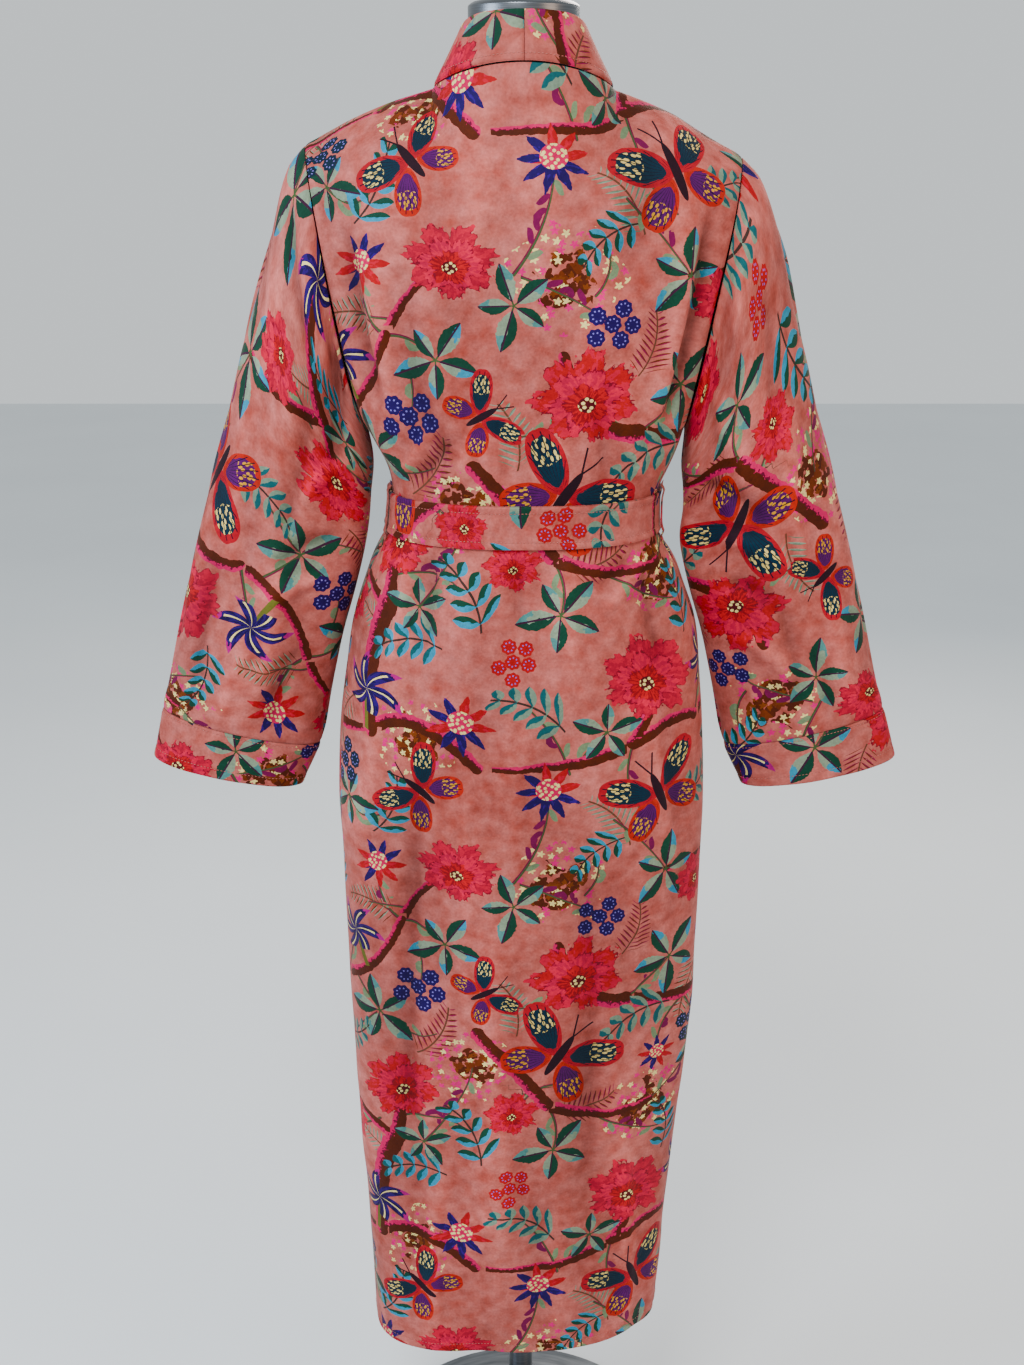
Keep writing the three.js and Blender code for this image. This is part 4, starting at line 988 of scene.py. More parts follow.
def stroke_places(kind, corners, centres):
    """Each face corner's place on the nearest stroke of a kind, in millimetres: across it, half the
    stroke's width there, and how far it is from the stroke's nearer end."""
    rows = [row for row in STROKES if row[0] == kind]
    points = np.array([row[1:7] for row in rows]).reshape(-1, 3, 2) * CROWDING
    half = np.array([row[7:9] for row in rows], dtype=float)
    t = np.linspace(0, 1, 17)[None, :, None]
    first, control, last = (points[:, None, k] for k in range(3))
    bends = (1 - t) ** 2 * first + 2 * t * (1 - t) * control + t * t * last
    middles = bends[:, 8]
    offset = in_tile(centres[:, None, :] - middles)
    from_line = offset[:, :, None, :] - (bends[:, ::2] - middles[:, None])[None]
    far = np.hypot(from_line[..., 0], from_line[..., 1]).min(axis=2) - half.mean(axis=1)
    near = np.argmin(far, axis=1)
    place = corners - centres[:, None, :] + offset[np.arange(len(near)), near][:, None, :]
    line = (bends - middles[:, None])[near]
    start = line[:, None, :-1]
    step = np.diff(line, axis=1)[:, None]
    long = np.hypot(step[..., 0], step[..., 1])
    rest = place[:, :, None, :] - start
    along = (rest[..., 0] * step[..., 0] + rest[..., 1] * step[..., 1]) / long**2
    across = (rest[..., 1] * step[..., 0] - rest[..., 0] * step[..., 1]) / long
    held = np.clip(along, 0, 1)
    gap = rest - held[..., None] * step
    best = np.argmin(np.hypot(gap[..., 0], gap[..., 1]), axis=2)[..., None]
    before = np.concatenate([np.zeros_like(long[..., :1]), np.cumsum(long, axis=2)], axis=2)
    total = before[..., -1]
    open_along = np.where(best == 0, along[..., :1], np.take_along_axis(held, best, 2))
    open_along = np.where(best == 15, along[..., -1:], open_along)
    run = np.take_along_axis(np.broadcast_to(before[..., :-1], along.shape), best, 2)
    run = (run + open_along * np.take_along_axis(np.broadcast_to(long, along.shape), best, 2))[..., 0]
    wide = lerp(half[near, None, 0], half[near, None, 1], np.clip(run / total, 0, 1))
    aside = np.take_along_axis(across, best, 2)[..., 0]
    return np.stack([aside, wide, np.minimum(run, total - run)], axis=-1)


def lay_flat(mesh, places):
    """Stores where each face corner lay on the flat cloth, and its place in the motifs of the print."""
    uv = mesh.uv_layers.new(name="cloth")
    uv.data.foreach_set("uv", (places * MM).reshape(-1).astype(np.float32))
    centres = places.mean(axis=1)
    for kind in sorted({row[0] for row in MOTIFS}):
        store(mesh, kind, motif_places(kind, places, centres))
    for kind in sorted({row[0] for row in STROKES}):
        store(mesh, kind, stroke_places(kind, places, centres))


def store(mesh, name, values):
    """Stores a vector for each face corner."""
    attribute = mesh.attributes.new(name, "FLOAT_VECTOR", "CORNER")
    attribute.data.foreach_set("vector", values.reshape(-1).astype(np.float32))


def linear(colour):
    """An sRGB hex colour as the linear values that a shader reads."""
    parts = [int(colour[k:k + 2], 16) / 255 for k in (1, 3, 5)]
    return [c / 12.92 if c <= 0.04045 else ((c + 0.055) / 1.055) ** 2.4 for c in parts] + [1.0]


def add_node(tree, kind, *inputs, out=0, **settings):
    """Adds a node with its settings and its inputs, sockets or values, and gives back one output."""
    node = tree.nodes.new(kind)
    for name, value in settings.items():
        setattr(node, name, value)
    for socket, value in zip(node.inputs, inputs):
        value = value.socket if isinstance(value, Value) else value
        if isinstance(value, bpy.types.NodeSocket):
            tree.links.new(value, socket)
        elif value is not None:
            socket.default_value = value
    return Value(tree, node.outputs[out])


def blend(tree, part, low, high, **settings):
    """Two colours mixed by part; each is a hex colour, linear values or a node's output."""
    low, high = (linear(c) if isinstance(c, str) else c for c in (low, high))
    return add_node(tree, "ShaderNodeMix", part, *[None] * 5, low, high, out=2, data_type="RGBA", **settings)


class Value:
    """A value in a material; arithmetic on it adds Math nodes."""

    def __init__(self, tree, socket):
        self.tree = tree
        self.socket = socket

    def do(self, operation, *others):
        return add_node(self.tree, "ShaderNodeMath", self, *others, operation=operation)

    def __add__(self, other):
        return self.do("ADD", other)

    def __sub__(self, other):
        return self.do("SUBTRACT", other)

    def __mul__(self, other):
        return self.do("MULTIPLY", other)

    def __truediv__(self, other):
        return self.do("DIVIDE", other)

    def __lt__(self, other):
        return self.do("LESS_THAN", other)

    def __gt__(self, other):
        return self.do("GREATER_THAN", other)

    def __abs__(self):
        return self.do("ABSOLUTE")


class Print:
    """Paints the motifs over each other in the velvet's material."""

    def __init__(self, tree, ground):
        self.tree = tree
        self.cloth = add_node(tree, "ShaderNodeUVMap", uv_map="cloth")
        # Brush strokes of the drawing, about 9 mm long, and bristle marks of 3 mm in them
        self.brush = self.noise(1 / 0.009, 2.0)
        self.streak = self.noise(1 / 0.0032, 1.0)
        self.colour = ground(self)

    def noise(self, scale, detail):
        return add_node(self.tree, "ShaderNodeTexNoise", self.cloth, None, scale, detail)

    def parts(self, vector):
        node = add_node(self.tree, "ShaderNodeSeparateXYZ", vector).socket.node
        return [Value(self.tree, node.outputs[k]) for k in range(3)]

    def place(self, kind):
        return self.parts(add_node(self.tree, "ShaderNodeAttribute", attribute_name=kind, out=1))

    def paint(self, mask, colour):
        self.colour = self.mix(mask, self.colour, colour)

    def mix(self, mask, low, high):
        return blend(self.tree, mask, low, high)

    def length(self, x, y):
        return y.do("MULTIPLY_ADD", y, x * x).do("SQRT")

    def repeat(self, value):
        """The place in each unit of a value, from -1 to 1."""
        return value.do("FRACT").do("MULTIPLY_ADD", 2.0, -1.0)

    def sector(self, angle, count, phase=0.0):
        """The place across each of count equal sectors of a turn, from -1 to 1."""
        return self.repeat(angle.do("MULTIPLY_ADD", count / math.tau, phase))

    def bristles(self, angle, radius, tint):
        """Strokes that run out from the middle of a flower."""
        at = add_node(self.tree, "ShaderNodeCombineXYZ", angle * 2.6, radius * 1.6, tint * 9.0)
        return add_node(self.tree, "ShaderNodeTexNoise", at, None, 2.6, 2.0)

    def fern(self, kind, pairs, slim, tones):
        """A bowed stem with pairs of leaves, longer at its foot."""
        x, y, tint = self.place(kind)
        bowed = y.do("MULTIPLY_ADD", y * 0.22, x) - 0.08
        side = abs(bowed)
        row = side.do("MULTIPLY_ADD", -0.75, y)
        cell = self.repeat(row.do("MULTIPLY_ADD", pairs, 0.5))
        reach = y.do("MULTIPLY_ADD", -0.2, 0.42)
        part = side / reach
        lens = part * (part.do("MULTIPLY_ADD", -4 * slim, 4 * slim))
        leaf = (abs(cell) < lens) * (abs(row) < 0.9)
        stem = (side < 0.022) * (abs(y) < 0.96)
        light = self.mix(tint > 0.5, tones[0], tones[1])
        dark = self.mix(tint > 0.3, tones[2], tones[3])
        self.paint(stem, tones[4])
        self.paint(leaf, self.mix(cell > self.brush * 1.2 - 0.6, light, dark))

    def leaves(self):
        """Five broad pointed leaves on one stalk, in two greens and a blue, with plum midribs."""
        x, y, tint = self.place("leaves")
        turn = y.do("ARCTAN2", x).do("MULTIPLY_ADD", 5.0 / math.tau, 0.25)
        across = self.repeat(turn) * (math.pi / 5)
        which = (turn.do("FLOOR") * 2.4 + tint * 20.0).do("SINE")
        radius = self.length(x, y) * which.do("MULTIPLY_ADD", 0.16, 1.12)
        along = radius * across.do("COSINE")
        off = radius * across.do("SINE")
        part = along.do("MULTIPLY_ADD", 1.1, -0.1)
        ragged = self.streak.do("MULTIPLY_ADD", 0.3, 0.78)
        leaf = abs(off) < part * part.do("MULTIPLY_ADD", -0.92, 0.92) * ragged
        stalk = (abs(off) < 0.02) * (radius < 0.3)
        blue = self.mix(tint > 0.45, "#4E94AC", "#5E8C88")
        light = self.mix(along + self.brush * 0.6 > 0.92, "#8D9B86", blue)
        self.paint(stalk, "#4A5E3C")
        self.paint(leaf, self.mix(off + self.brush * 0.22 > 0.11, light, "#1A4636"))
        self.paint(leaf * (abs(off) < 0.022), "#43213A")

    def peony(self):
        """A full flower in three rings of ragged petals, nodding to one side, with dotted stamens."""
        x, y, tint = self.place("peony")
        warm = self.mix(tint > 0.5, "#B80418", "#B00436")
        for count, phase, size, drop, tone, light in (
            (7.0, 0.1, 1.06, 0.0, warm, "#C60A3C"),
            (6.0, 0.45, 0.76, 0.08, "#BE0844", "#D6204A"),
            (5.0, 0.2, 0.48, 0.17, "#94041C", "#BE061E"),
        ):
            low = y + drop
            angle = low.do("ARCTAN2", x)
            far = self.length(x, low)
            strokes = self.bristles(angle, far, tint + size)
            across = abs(self.sector(angle, count, phase))
            limit = (across * across).do("MULTIPLY_ADD", -0.3 * size, size)
            limit = limit + strokes.do("MULTIPLY_ADD", 0.62 * size, -0.34 * size)
            petal = far < limit
            self.paint(petal, self.mix(strokes + self.streak * 0.3 > 0.66, tone, light))
            self.paint(petal * (far > limit - 0.035) * (strokes < 0.54), "#840A2A")
        self.dots(x, y + 0.17, self.length(x, y + 0.17) < 0.17, 9.0, "#5A1420", "#EBD79A")

    def dots(self, x, y, where, scale, ground, dot):
        at = add_node(self.tree, "ShaderNodeCombineXYZ", x, y)
        spot = add_node(self.tree, "ShaderNodeTexVoronoi", at, None, scale, voronoi_dimensions="2D")
        self.paint(where, self.mix(spot < 0.34, ground, dot))

    def star(self):
        """A flower of pointed petals round a large dotted middle."""
        x, y, tint = self.place("star")
        angle = y.do("ARCTAN2", x)
        radius = self.length(x, y)
        strokes = self.bristles(angle, radius, tint)
        sector = angle.do("MULTIPLY_ADD", 9.0 / math.tau, 0.3)
        across = abs(self.repeat(sector))
        petal = radius + strokes * 0.3 < across.do("MULTIPLY_ADD", -0.66, 1.22)
        every = (sector.do("FLOOR") + tint * 8.0).do("SINE") > 0.1
        self.paint(petal, self.mix(every, "#260C58", "#AE0618"))
        self.paint(petal * (strokes > 0.56), self.mix(every, "#3A1C78", "#C20C34"))
        self.dots(x, y - 0.1, self.length(x, y - 0.1) < 0.4, 6.5, "#CC2A5E", "#EBD79A")

    def lily(self):
        """A trumpet of long twisted petals with pale ribs."""
        x, y, tint = self.place("lily")
        radius = self.length(x, y)
        angle = y.do("ARCTAN2", x) + radius * 0.7
        strokes = self.bristles(angle, radius, tint)
        across = self.sector(angle, 6.0, 0.1)
        wide = radius.do("MULTIPLY_ADD", -1.25, 1.3)
        petal = (abs(across) < wide) * (y > -0.62)
        self.paint((abs(x + y * 0.2) < 0.07) * (y < -0.1) * (y > -1.15), "#6B6A34")
        self.paint(petal, self.mix(strokes > 0.5, "#200C48", "#34186A"))
        self.paint(petal * (abs(across) < 0.09) * (radius < 0.72), "#EBD79A")
        self.paint(petal * (radius + strokes * 0.4 > 1.02), "#B02A7E")

    def clump(self, kind, scale, petals, reach, notch, shift):
        """Small blossoms in a cluster: where they are, two random numbers each, and the cluster's radius."""
        x, y, tint = self.place(kind)
        at = add_node(self.tree, "ShaderNodeCombineXYZ", x + shift, y + tint * 7.0)
        cells = add_node(self.tree, "ShaderNodeTexVoronoi", at, None, scale, voronoi_dimensions="2D")
        node = cells.socket.node
        middle = Value(self.tree, node.outputs["Position"])
        away = add_node(self.tree, "ShaderNodeVectorMath", at, middle, operation="SUBTRACT")
        dx, dy, _ = self.parts(away)
        random, second, _ = self.parts(Value(self.tree, node.outputs["Color"]))
        across = abs(self.sector(dy.do("ARCTAN2", dx) + random * 6.0, petals))
        shape = self.length(dx, dy) * scale < across.do("MULTIPLY_ADD", -notch, reach)
        return shape, random, second, self.length(x, y)

    def blossom(self, wander):
        """A spray of jagged brown and cream blossoms, with pink ones scattered round it."""
        shape, random, second, radius = self.clump("blossom", 4.6, 5.0, 0.8, 0.34, 0.0)
        radius = radius + wander * 1.5
        self.paint(shape * (radius + second * 0.2 < 1.36), self.mix(random > 0.6, "#5A260E", "#743614"))
        shape, random, second, radius = self.clump("blossom", 6.4, 5.0, 0.58, 0.34, 3.3)
        radius = radius + wander * 1.5
        inside = (radius + second * 0.4) < 1.5
        self.paint(shape * inside * (second > 0.3), self.mix(random > 0.42, "#EBD79A", "#7E4420"))
        shape, random, second, radius = self.clump("blossom", 5.4, 5.0, 0.5, 0.3, 8.1)
        outside = (radius + wander * 1.5 > 1.25) * (radius + wander < 1.52) * (second > 0.35)
        self.paint(shape * outside, self.mix(random > 0.7, "#D8297C", "#EBD79A"))

    def berries(self):
        """A bunch of round scalloped berries with pale specks."""
        x, y, tint = self.place("berries")
        tone = self.mix(tint > 0.4, "#260E58", self.mix(tint > 0.8, "#0C2A3E", "#B00814"))
        for across, up in (
            (-0.45, 0.35), (0.4, 0.42), (-0.02, 0.02), (0.62, -0.14), (-0.6, -0.3), (0.16, -0.52),
        ):
            dx = x - across
            dy = y - up
            far = self.length(dx, dy)
            edge = abs(self.sector(dy.do("ARCTAN2", dx), 8.0))
            self.paint(far < edge.do("MULTIPLY_ADD", -0.045, 0.3), tone)
            self.paint((abs(far - 0.16) < 0.026) * (edge < 0.35), "#8F86C8")

    def butterfly(self):
        """A butterfly with dark dotted fore wings and striped hind wings."""
        x, y, _ = self.place("butterfly")
        side = abs(x)
        for out, up, turn, long, wide, tone, edge, dot in (
            (0.42, -0.34, -42, 0.42, 0.26, "#5A1E60", "#B82A18", "#DCA236"),
            (0.5, 0.28, 34, 0.54, 0.27, "#0E3040", "#B0142A", "#E2CC8C"),
        ):
            c = math.cos(math.radians(turn))
            s = math.sin(math.radians(turn))
            u = (side - out).do("MULTIPLY_ADD", c / long, (y - up) * (s / long))
            v = (y - up).do("MULTIPLY_ADD", c / wide, (side - out) * (-s / wide))
            u = u - abs(v) * 0.16
            far = self.length(u, v)
            self.paint(far < 1.0, self.mix(far + self.brush * 0.3 > 0.9, tone, edge))
            self.dots(u, v, (far < 0.74) * (u > -0.1), 4.2, tone, dot)
            ribs = abs(self.sector(v.do("ARCTAN2", u + 1.0), 26.0)) < 0.16
            self.paint((far < 0.9) * ribs, "#1A1226")
        self.paint(self.length(x * 12.0, y * 2.4) < 1.0, "#2A1420")
        feeler = abs(side - (y - 0.4) * 0.42) < 0.016
        self.paint(feeler * (y > 0.4) * (y < 0.78), "#2A1420")

    def bough(self, kind, tones, leaf=0.0):
        """Bark in two tones with bright strokes, or a thin stem with small leaves along it."""
        across, half, end = self.place(kind)
        if leaf:
            side = abs(across)
            row = side.do("MULTIPLY_ADD", -0.9, end)
            number = row / (leaf * 1.1)
            cell = abs(self.repeat(number))
            kept = (number.do("FLOOR") * 1.9 + (across > 0.0) * 2.5).do("SINE") > -0.25
            part = side / leaf
            lens = part * part.do("MULTIPLY_ADD", -3.0, 3.0)
            tone = self.mix((number.do("FLOOR") * 2.7).do("SINE") > 0.3, "#3C6A52", "#7C8C6E")
            self.paint((cell < lens) * kept * (row > leaf), self.mix(across > 0.0, tone, "#7A2E54"))
        else:
            across = across + self.brush.do("MULTIPLY_ADD", 5.0, -2.5)
            half = half * 1.25
        mask = self.length(across, end.do("MINIMUM", 0.0)) < half
        side = across / half
        tone = self.mix(side > 0.25, tones[0], tones[1])
        if not leaf:
            tone = self.mix((side + self.streak * 1.6) > 1.2, tone, tones[2])
        self.paint(mask, tone)


def napped(cloth):
    """The ground between the motifs: a washed salmon dye, mottled where the nap is brushed or crushed."""
    broad = cloth.noise(1 / 0.13, 1.0)
    patch = cloth.noise(1 / cloth_settings().patch, 5.0)
    mottle = patch.do("MULTIPLY_ADD", 1.5, broad * 0.8) - 0.65
    part = mottle.do("MINIMUM", 1.0).do("MAXIMUM", 0.0)
    return cloth.mix(part, cloth_settings().dark, cloth_settings().light)


def printed_velvet(name):
    """Cotton velvet, screen printed and washed. Its pile scatters light, so it glows where it turns away,
    and the drawing's edges are soft. Its colour also carries painted shade in the creases and seams and a
    painted highlight on the ridges."""
    material, tree, shader = new_material(name)
    cloth = Print(tree, napped)
    cloth.fern("fern", 5.5, 0.42, ("#8A9A88", "#8A2850", "#6E7D6A", "#6B3A22", "#6B4A3A"))
    cloth.blossom(cloth.noise(1 / 0.03, 1.0))
    cloth.bough("twig", ("#4C5A3C", "#7A2448"), 11.0)
    cloth.bough("bough", ("#562410", "#701238", "#CC1060"))
    cloth.fern("spray", 2.6, 0.78, ("#4E94AC", "#7E907E", "#1B4838", "#286064", "#43332E"))
    cloth.leaves()
    cloth.berries()
    cloth.star()
    cloth.lily()
    cloth.peony()
    cloth.butterfly()
    # Worn pile: grain of about 2.5 mm, coarser than the real 1 mm so that it shows at all
    grain = cloth.noise(1 / 0.0025, 2.0)
    wear = cloth.noise(1 / 0.011, 3.0)
    # Painted shade and painted highlight of the creases: the colour is darkened in troughs and seams and
    # lightened on ridges, by 8% a millimetre of relief
    relief = add_node(tree, "ShaderNodeAttribute", attribute_name="relief", out=2)
    fold = (relief * 0.08 + 1.0).do("MAXIMUM", 0.55).do("MINIMUM", 1.28)
    # shade is the pile's random grain and wear tone times the painted crease shade and highlight
    shade = (grain.do("MULTIPLY_ADD", 0.36, wear * 0.4) + 0.22) * fold
    # Dye sinks into the pile, which makes it deeper than the ink on paper would be
    deep = add_node(tree, "ShaderNodeGamma", cloth.colour, 1.14)
    rich = add_node(tree, "ShaderNodeHueSaturation", 0.5, 1.12, 1.3, 1.0, deep)
    colour = blend(tree, 1.0, rich, shade, blend_type="MULTIPLY")
    bump = add_node(tree, "ShaderNodeBump", 0.35, 0.0008, None, grain + wear * 2.0)
    tree.links.new(colour.socket, shader.inputs["Base Color"])
    tree.links.new(bump.socket, shader.inputs["Normal"])
    shader.inputs["Roughness"].default_value = 0.72
    shader.inputs["Specular IOR Level"].default_value = 0.12
    shader.inputs["Sheen Weight"].default_value = 0.12
    shader.inputs["Sheen Roughness"].default_value = 0.35
    shader.inputs["Sheen Tint"].default_value = linear("#FFC9BC")
    return material


def sewing_thread(name):
    """Polyester sewing thread in the ground's colour: a slight gloss on the pile."""
    material, tree, shader = new_material(name)
    at = add_node(tree, "ShaderNodeTexCoord", out=3)
    # Twist of the two plies, about 1.2 mm from turn to turn
    ply = add_node(tree, "ShaderNodeTexNoise", at, None, 1 / 0.0012, 1.0)
    colour = blend(tree, ply, "#9C4A40", "#C9766A")
    tree.links.new(colour.socket, shader.inputs["Base Color"])
    shader.inputs["Roughness"].default_value = 0.5
    return material


def charcoal_jersey(name):
    """Cotton jersey stretched over the form: charcoal, matt, with fine wales and a bobbled surface."""
    material, tree, shader = new_material(name)
    at = add_node(tree, "ShaderNodeTexCoord", out=3)
    # Wales 1.6 mm apart all round
    wales = add_node(tree, "ShaderNodeTexWave", at, 1 / 0.0016 / math.tau, 1.5, 1.0,
                     wave_type="RINGS", rings_direction="Z")
    bobbles = add_node(tree, "ShaderNodeTexNoise", at, None, 1 / 0.006, 3.0)
    colour = blend(tree, bobbles, "#1E1F22", "#3C3D42")
    bump = add_node(tree, "ShaderNodeBump", 0.3, 0.0006, None, wales * 0.6 + bobbles)
    tree.links.new(colour.socket, shader.inputs["Base Color"])
    tree.links.new(bump.socket, shader.inputs["Normal"])
    shader.inputs["Roughness"].default_value = 0.9
    shader.inputs["Sheen Weight"].default_value = 0.15
    return material


def brushed_steel(name):
    """Brushed dark steel under clear lacquer: rings of brush marks and a long highlight."""
    material, tree, shader = new_material(name)
    at = add_node(tree, "ShaderNodeTexCoord", out=3)
    # Brush marks 0.7 mm apart up the part, and 40 mm long round it
    stretched = add_node(tree, "ShaderNodeMapping", at, None, None, (1 / 0.04, 1 / 0.04, 1 / 0.0007))
    marks = add_node(tree, "ShaderNodeTexNoise", stretched, None, 1.0, 2.0)
    cloud = add_node(tree, "ShaderNodeTexNoise", at, None, 1 / 0.03, 2.0)
    colour = blend(tree, marks, stand_settings().steel, "#7C8084")
    rough = marks.do("MULTIPLY_ADD", 0.14, cloud * 0.12) + stand_settings().polish
    bump = add_node(tree, "ShaderNodeBump", 0.15, 0.0002, None, marks)
    tree.links.new(colour.socket, shader.inputs["Base Color"])
    tree.links.new(rough.socket, shader.inputs["Roughness"])
    tree.links.new(bump.socket, shader.inputs["Normal"])
    shader.inputs["Metallic"].default_value = 1.0
    return material


def painted_floor(name):
    """Pale grey studio floor, matt and even, with a faint cloudiness."""
    material, tree, shader = new_material(name)
    at = add_node(tree, "ShaderNodeTexCoord", out=3)
    cloud = add_node(tree, "ShaderNodeTexNoise", at, None, 1 / 0.6, 3.0)
    colour = blend(tree, cloud, "#D3D8DB", "#DDE2E4")
    tree.links.new(colour.socket, shader.inputs["Base Color"])
    shader.inputs["Roughness"].default_value = 0.9
    return material


def new_material(name):
    """A material, its node tree and its shader."""
    material = bpy.data.materials.new(name)
    material.use_nodes = True
    tree = material.node_tree
    return material, tree, tree.nodes["Principled BSDF"]


def finish(make):
    """The material of a finish, made when it is first asked for."""
    name = make.__name__.replace("_", " ")
    return bpy.data.materials.get(name) or make(name)


def clear_selection():
    """Deselects everything, so that an operator works on its own object only."""
    for obj in bpy.context.view_layer.objects:
        obj.select_set(False)


def keep(obj, material, *nodes):
    """Gives a finished piece its material, hangs it on the root body and hides the solids it stands for."""
    for name in nodes:
        if name not in bpy.data.objects:
            raise RuntimeError(f"the frame has no node {name}")
    obj.data.materials.clear()
    obj.data.materials.append(material)
    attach(obj, "root")
    if nodes:
        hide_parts(*nodes)
    return obj


def sew(node, sheet, thick, cut, turned=False):
    """Makes a cloth piece in the place of its solid."""
    obj = keep(shell(f"cloth_{node}", sheet, thick, cut, turned), finish(printed_velvet), node)
    return obj


def stitch(name, sheet, thick, lines):
    """Rows of machine stitches on a sheet, along grid lines: ("row" or "column", number)."""
    settings = bpy.context.scene.robe_stitches
    pitch = settings.pitch / MM
    along = settings.long / MM / 2
    wide = settings.thick / MM / 2
    vertices = []
    for direction, number in lines:
        points = sheet.points[number] if direction == "row" else sheet.points[:, number]
        out = sheet.normals[number] if direction == "row" else sheet.normals[:, number]
        if sheet.closed and direction == "row":
            points = np.concatenate([points, points[:1]])
            out = np.concatenate([out, out[:1]])
        far = distances(points)
        at = np.arange(pitch / 2, far[-1], pitch)
        middle, before, after, up = (
            np.stack([np.interp(at + step, far, values[:, k]) for k in range(3)], axis=1)
            for step, values in ((0, points), (-1, points), (1, points), (0, out)))
        run = after - before
        run = run / np.linalg.norm(run, axis=1, keepdims=True)
        side = np.cross(run, up)
        middle = middle + up * (thick / 2 + 0.1)
        ring = [(-1, 0, 0), (-0.6, 0.8, 0.5), (-0.6, -0.8, 0.5), (0, 1, 0.75), (0, -1, 0.75),
                (0.6, 0.8, 0.5), (0.6, -0.8, 0.5), (1, 0, 0)]
        vertices.append(np.stack([middle + run * a * along + side * b * wide * 0.7 + up * c * wide
                                  for a, b, c in ring], axis=1))
    vertices = np.concatenate(vertices)
    faces = np.array([(0, 2, 1), (1, 2, 4), (1, 4, 3), (3, 4, 6), (3, 6, 5), (5, 6, 7),
                      (0, 1, 3), (0, 3, 7), (3, 5, 7), (0, 4, 2), (0, 7, 4), (4, 7, 6)])
    faces = faces[None] + (np.arange(len(vertices)) * 8)[:, None, None]
    obj = new_object(name, vertices.reshape(-1, 3) * MM, faces.reshape(-1, 3))
    return keep(obj, finish(sewing_thread))


def round_edges(obj, wide, segments, sharper_than, smooth_below):
    """Bevels the edges that turn by more than an angle in degrees, and shades the flatter ones smooth."""
    edges = obj.modifiers.new("rounded edges", "BEVEL")
    edges.width = wide * MM
    edges.segments = segments
    edges.angle_limit = math.radians(sharper_than)
    bpy.ops.object.modifier_apply(modifier=edges.name)
    bpy.ops.object.shade_smooth_by_angle(angle=math.radians(smooth_below))
    return obj


def turned_part(name, profile, sides, bevel):
    """A round metal part, drawn up ring by ring from its foot, with rounded edges."""
    clear_selection()
    radius, height = profile[0]
    bpy.ops.mesh.primitive_circle_add(vertices=sides, radius=radius * MM, fill_type="NGON",
                                      location=(0, 0, height * MM), enter_editmode=True)
    for wide, high in profile[1:]:
        bpy.ops.mesh.extrude_region_move(TRANSFORM_OT_translate={"value": (0, 0, (high - height) * MM)})
        bpy.ops.transform.resize(value=(wide / radius, wide / radius, 1))
        radius, height = wide, high
    bpy.ops.mesh.select_all(action="SELECT")
    bpy.ops.mesh.normals_make_consistent(inside=False)
    bpy.ops.object.mode_set(mode="OBJECT")
    obj = bpy.context.object
    obj.name = name
    bpy.ops.object.transform_apply(location=True, rotation=True, scale=True)
    return round_edges(obj, bevel, 3, 28, 35)


def tied_knot():
    """The half knot of the belt: one end wraps slantwise over the other, which is gathered at its sides."""
    clear_selection()
    bpy.ops.mesh.primitive_cube_add(size=2, location=(0, 0, 0), enter_editmode=True)
    bpy.ops.mesh.subdivide(number_cuts=31)
    bpy.ops.transform.tosphere(value=0.85)
    bpy.ops.object.mode_set(mode="OBJECT")
    obj = bpy.context.object
    obj.name = "cloth_belt_knot"
    mesh = obj.data
    points = np.empty(len(mesh.vertices) * 3)
    mesh.vertices.foreach_get("co", points)
    points = points.reshape(-1, 3) / np.abs(points).max()
    x, y, z = points.T
    taper = 0.42 + 0.58 * np.clip(1 - x * x, 0, 1)
    slant = np.abs(x * 0.92 - z * 0.34 - 0.05)
    wrapped = slant < KNOT_WRAP
    wrap = 0.2 * smooth((KNOT_WRAP - slant) / 0.07) + 0.03 * np.cos(slant * 26.0) * wrapped
    tuck = -0.16 * bell((slant - KNOT_WRAP - 0.1) / 0.1)
    folds = np.sin(z / taper * 6.5 + np.abs(x) * 2.2) * 0.09 + np.sin(z / taper * 3.1 - x) * 0.04
    gathered = folds * (slant > KNOT_WRAP) * np.clip(1.2 - np.abs(z), 0, 1)
    height = np.where(y < 0.2, wrap + tuck + gathered, 0)
    deep = y * (0.86 + height)
    high = z * taper**0.3 * (0.93 + 0.3 * height)
    shaped = np.stack([x, deep, high], axis=1) * KNOT_HALF + KNOT_MIDDLE
    mesh.vertices.foreach_set("co", (shaped * MM).reshape(-1))
    faces = np.empty(len(mesh.polygons) * 4, dtype=int)
    mesh.polygons.foreach_get("vertices", faces)
    mesh.shade_smooth()
    mesh.uv_layers.remove(mesh.uv_layers[0])
    lay_flat(mesh, shaped[faces.reshape(-1, 4)][..., (0, 2)] + (60, -1030))
    # The knot's relief drives the painted shade and painted highlight of its folds in the velvet's colour
    store_relief(mesh, (height - KNOT_MEAN) * KNOT_PAINTED_SHADE)
    return obj


def smoothed_copy(node, name):
    """A joined and smoothed copy of a frame node's mesh."""
    clear_selection()
    source = bpy.data.objects[node]
    obj = source.copy()
    obj.data = source.data.copy()
    obj.name = name
    bpy.context.scene.collection.objects.link(obj)
    bpy.context.view_layer.objects.active = obj
    obj.select_set(True)
    bpy.ops.object.mode_set(mode="EDIT")
    bpy.ops.mesh.select_all(action="SELECT")
    bpy.ops.mesh.remove_doubles(threshold=0.00005)
    bpy.ops.object.mode_set(mode="OBJECT")
    return round_edges(obj, 1.5, 2, 40, 50)


def cloth_settings():
    return bpy.context.scene.robe_cloth


def stand_settings():
    return bpy.context.scene.robe_stand


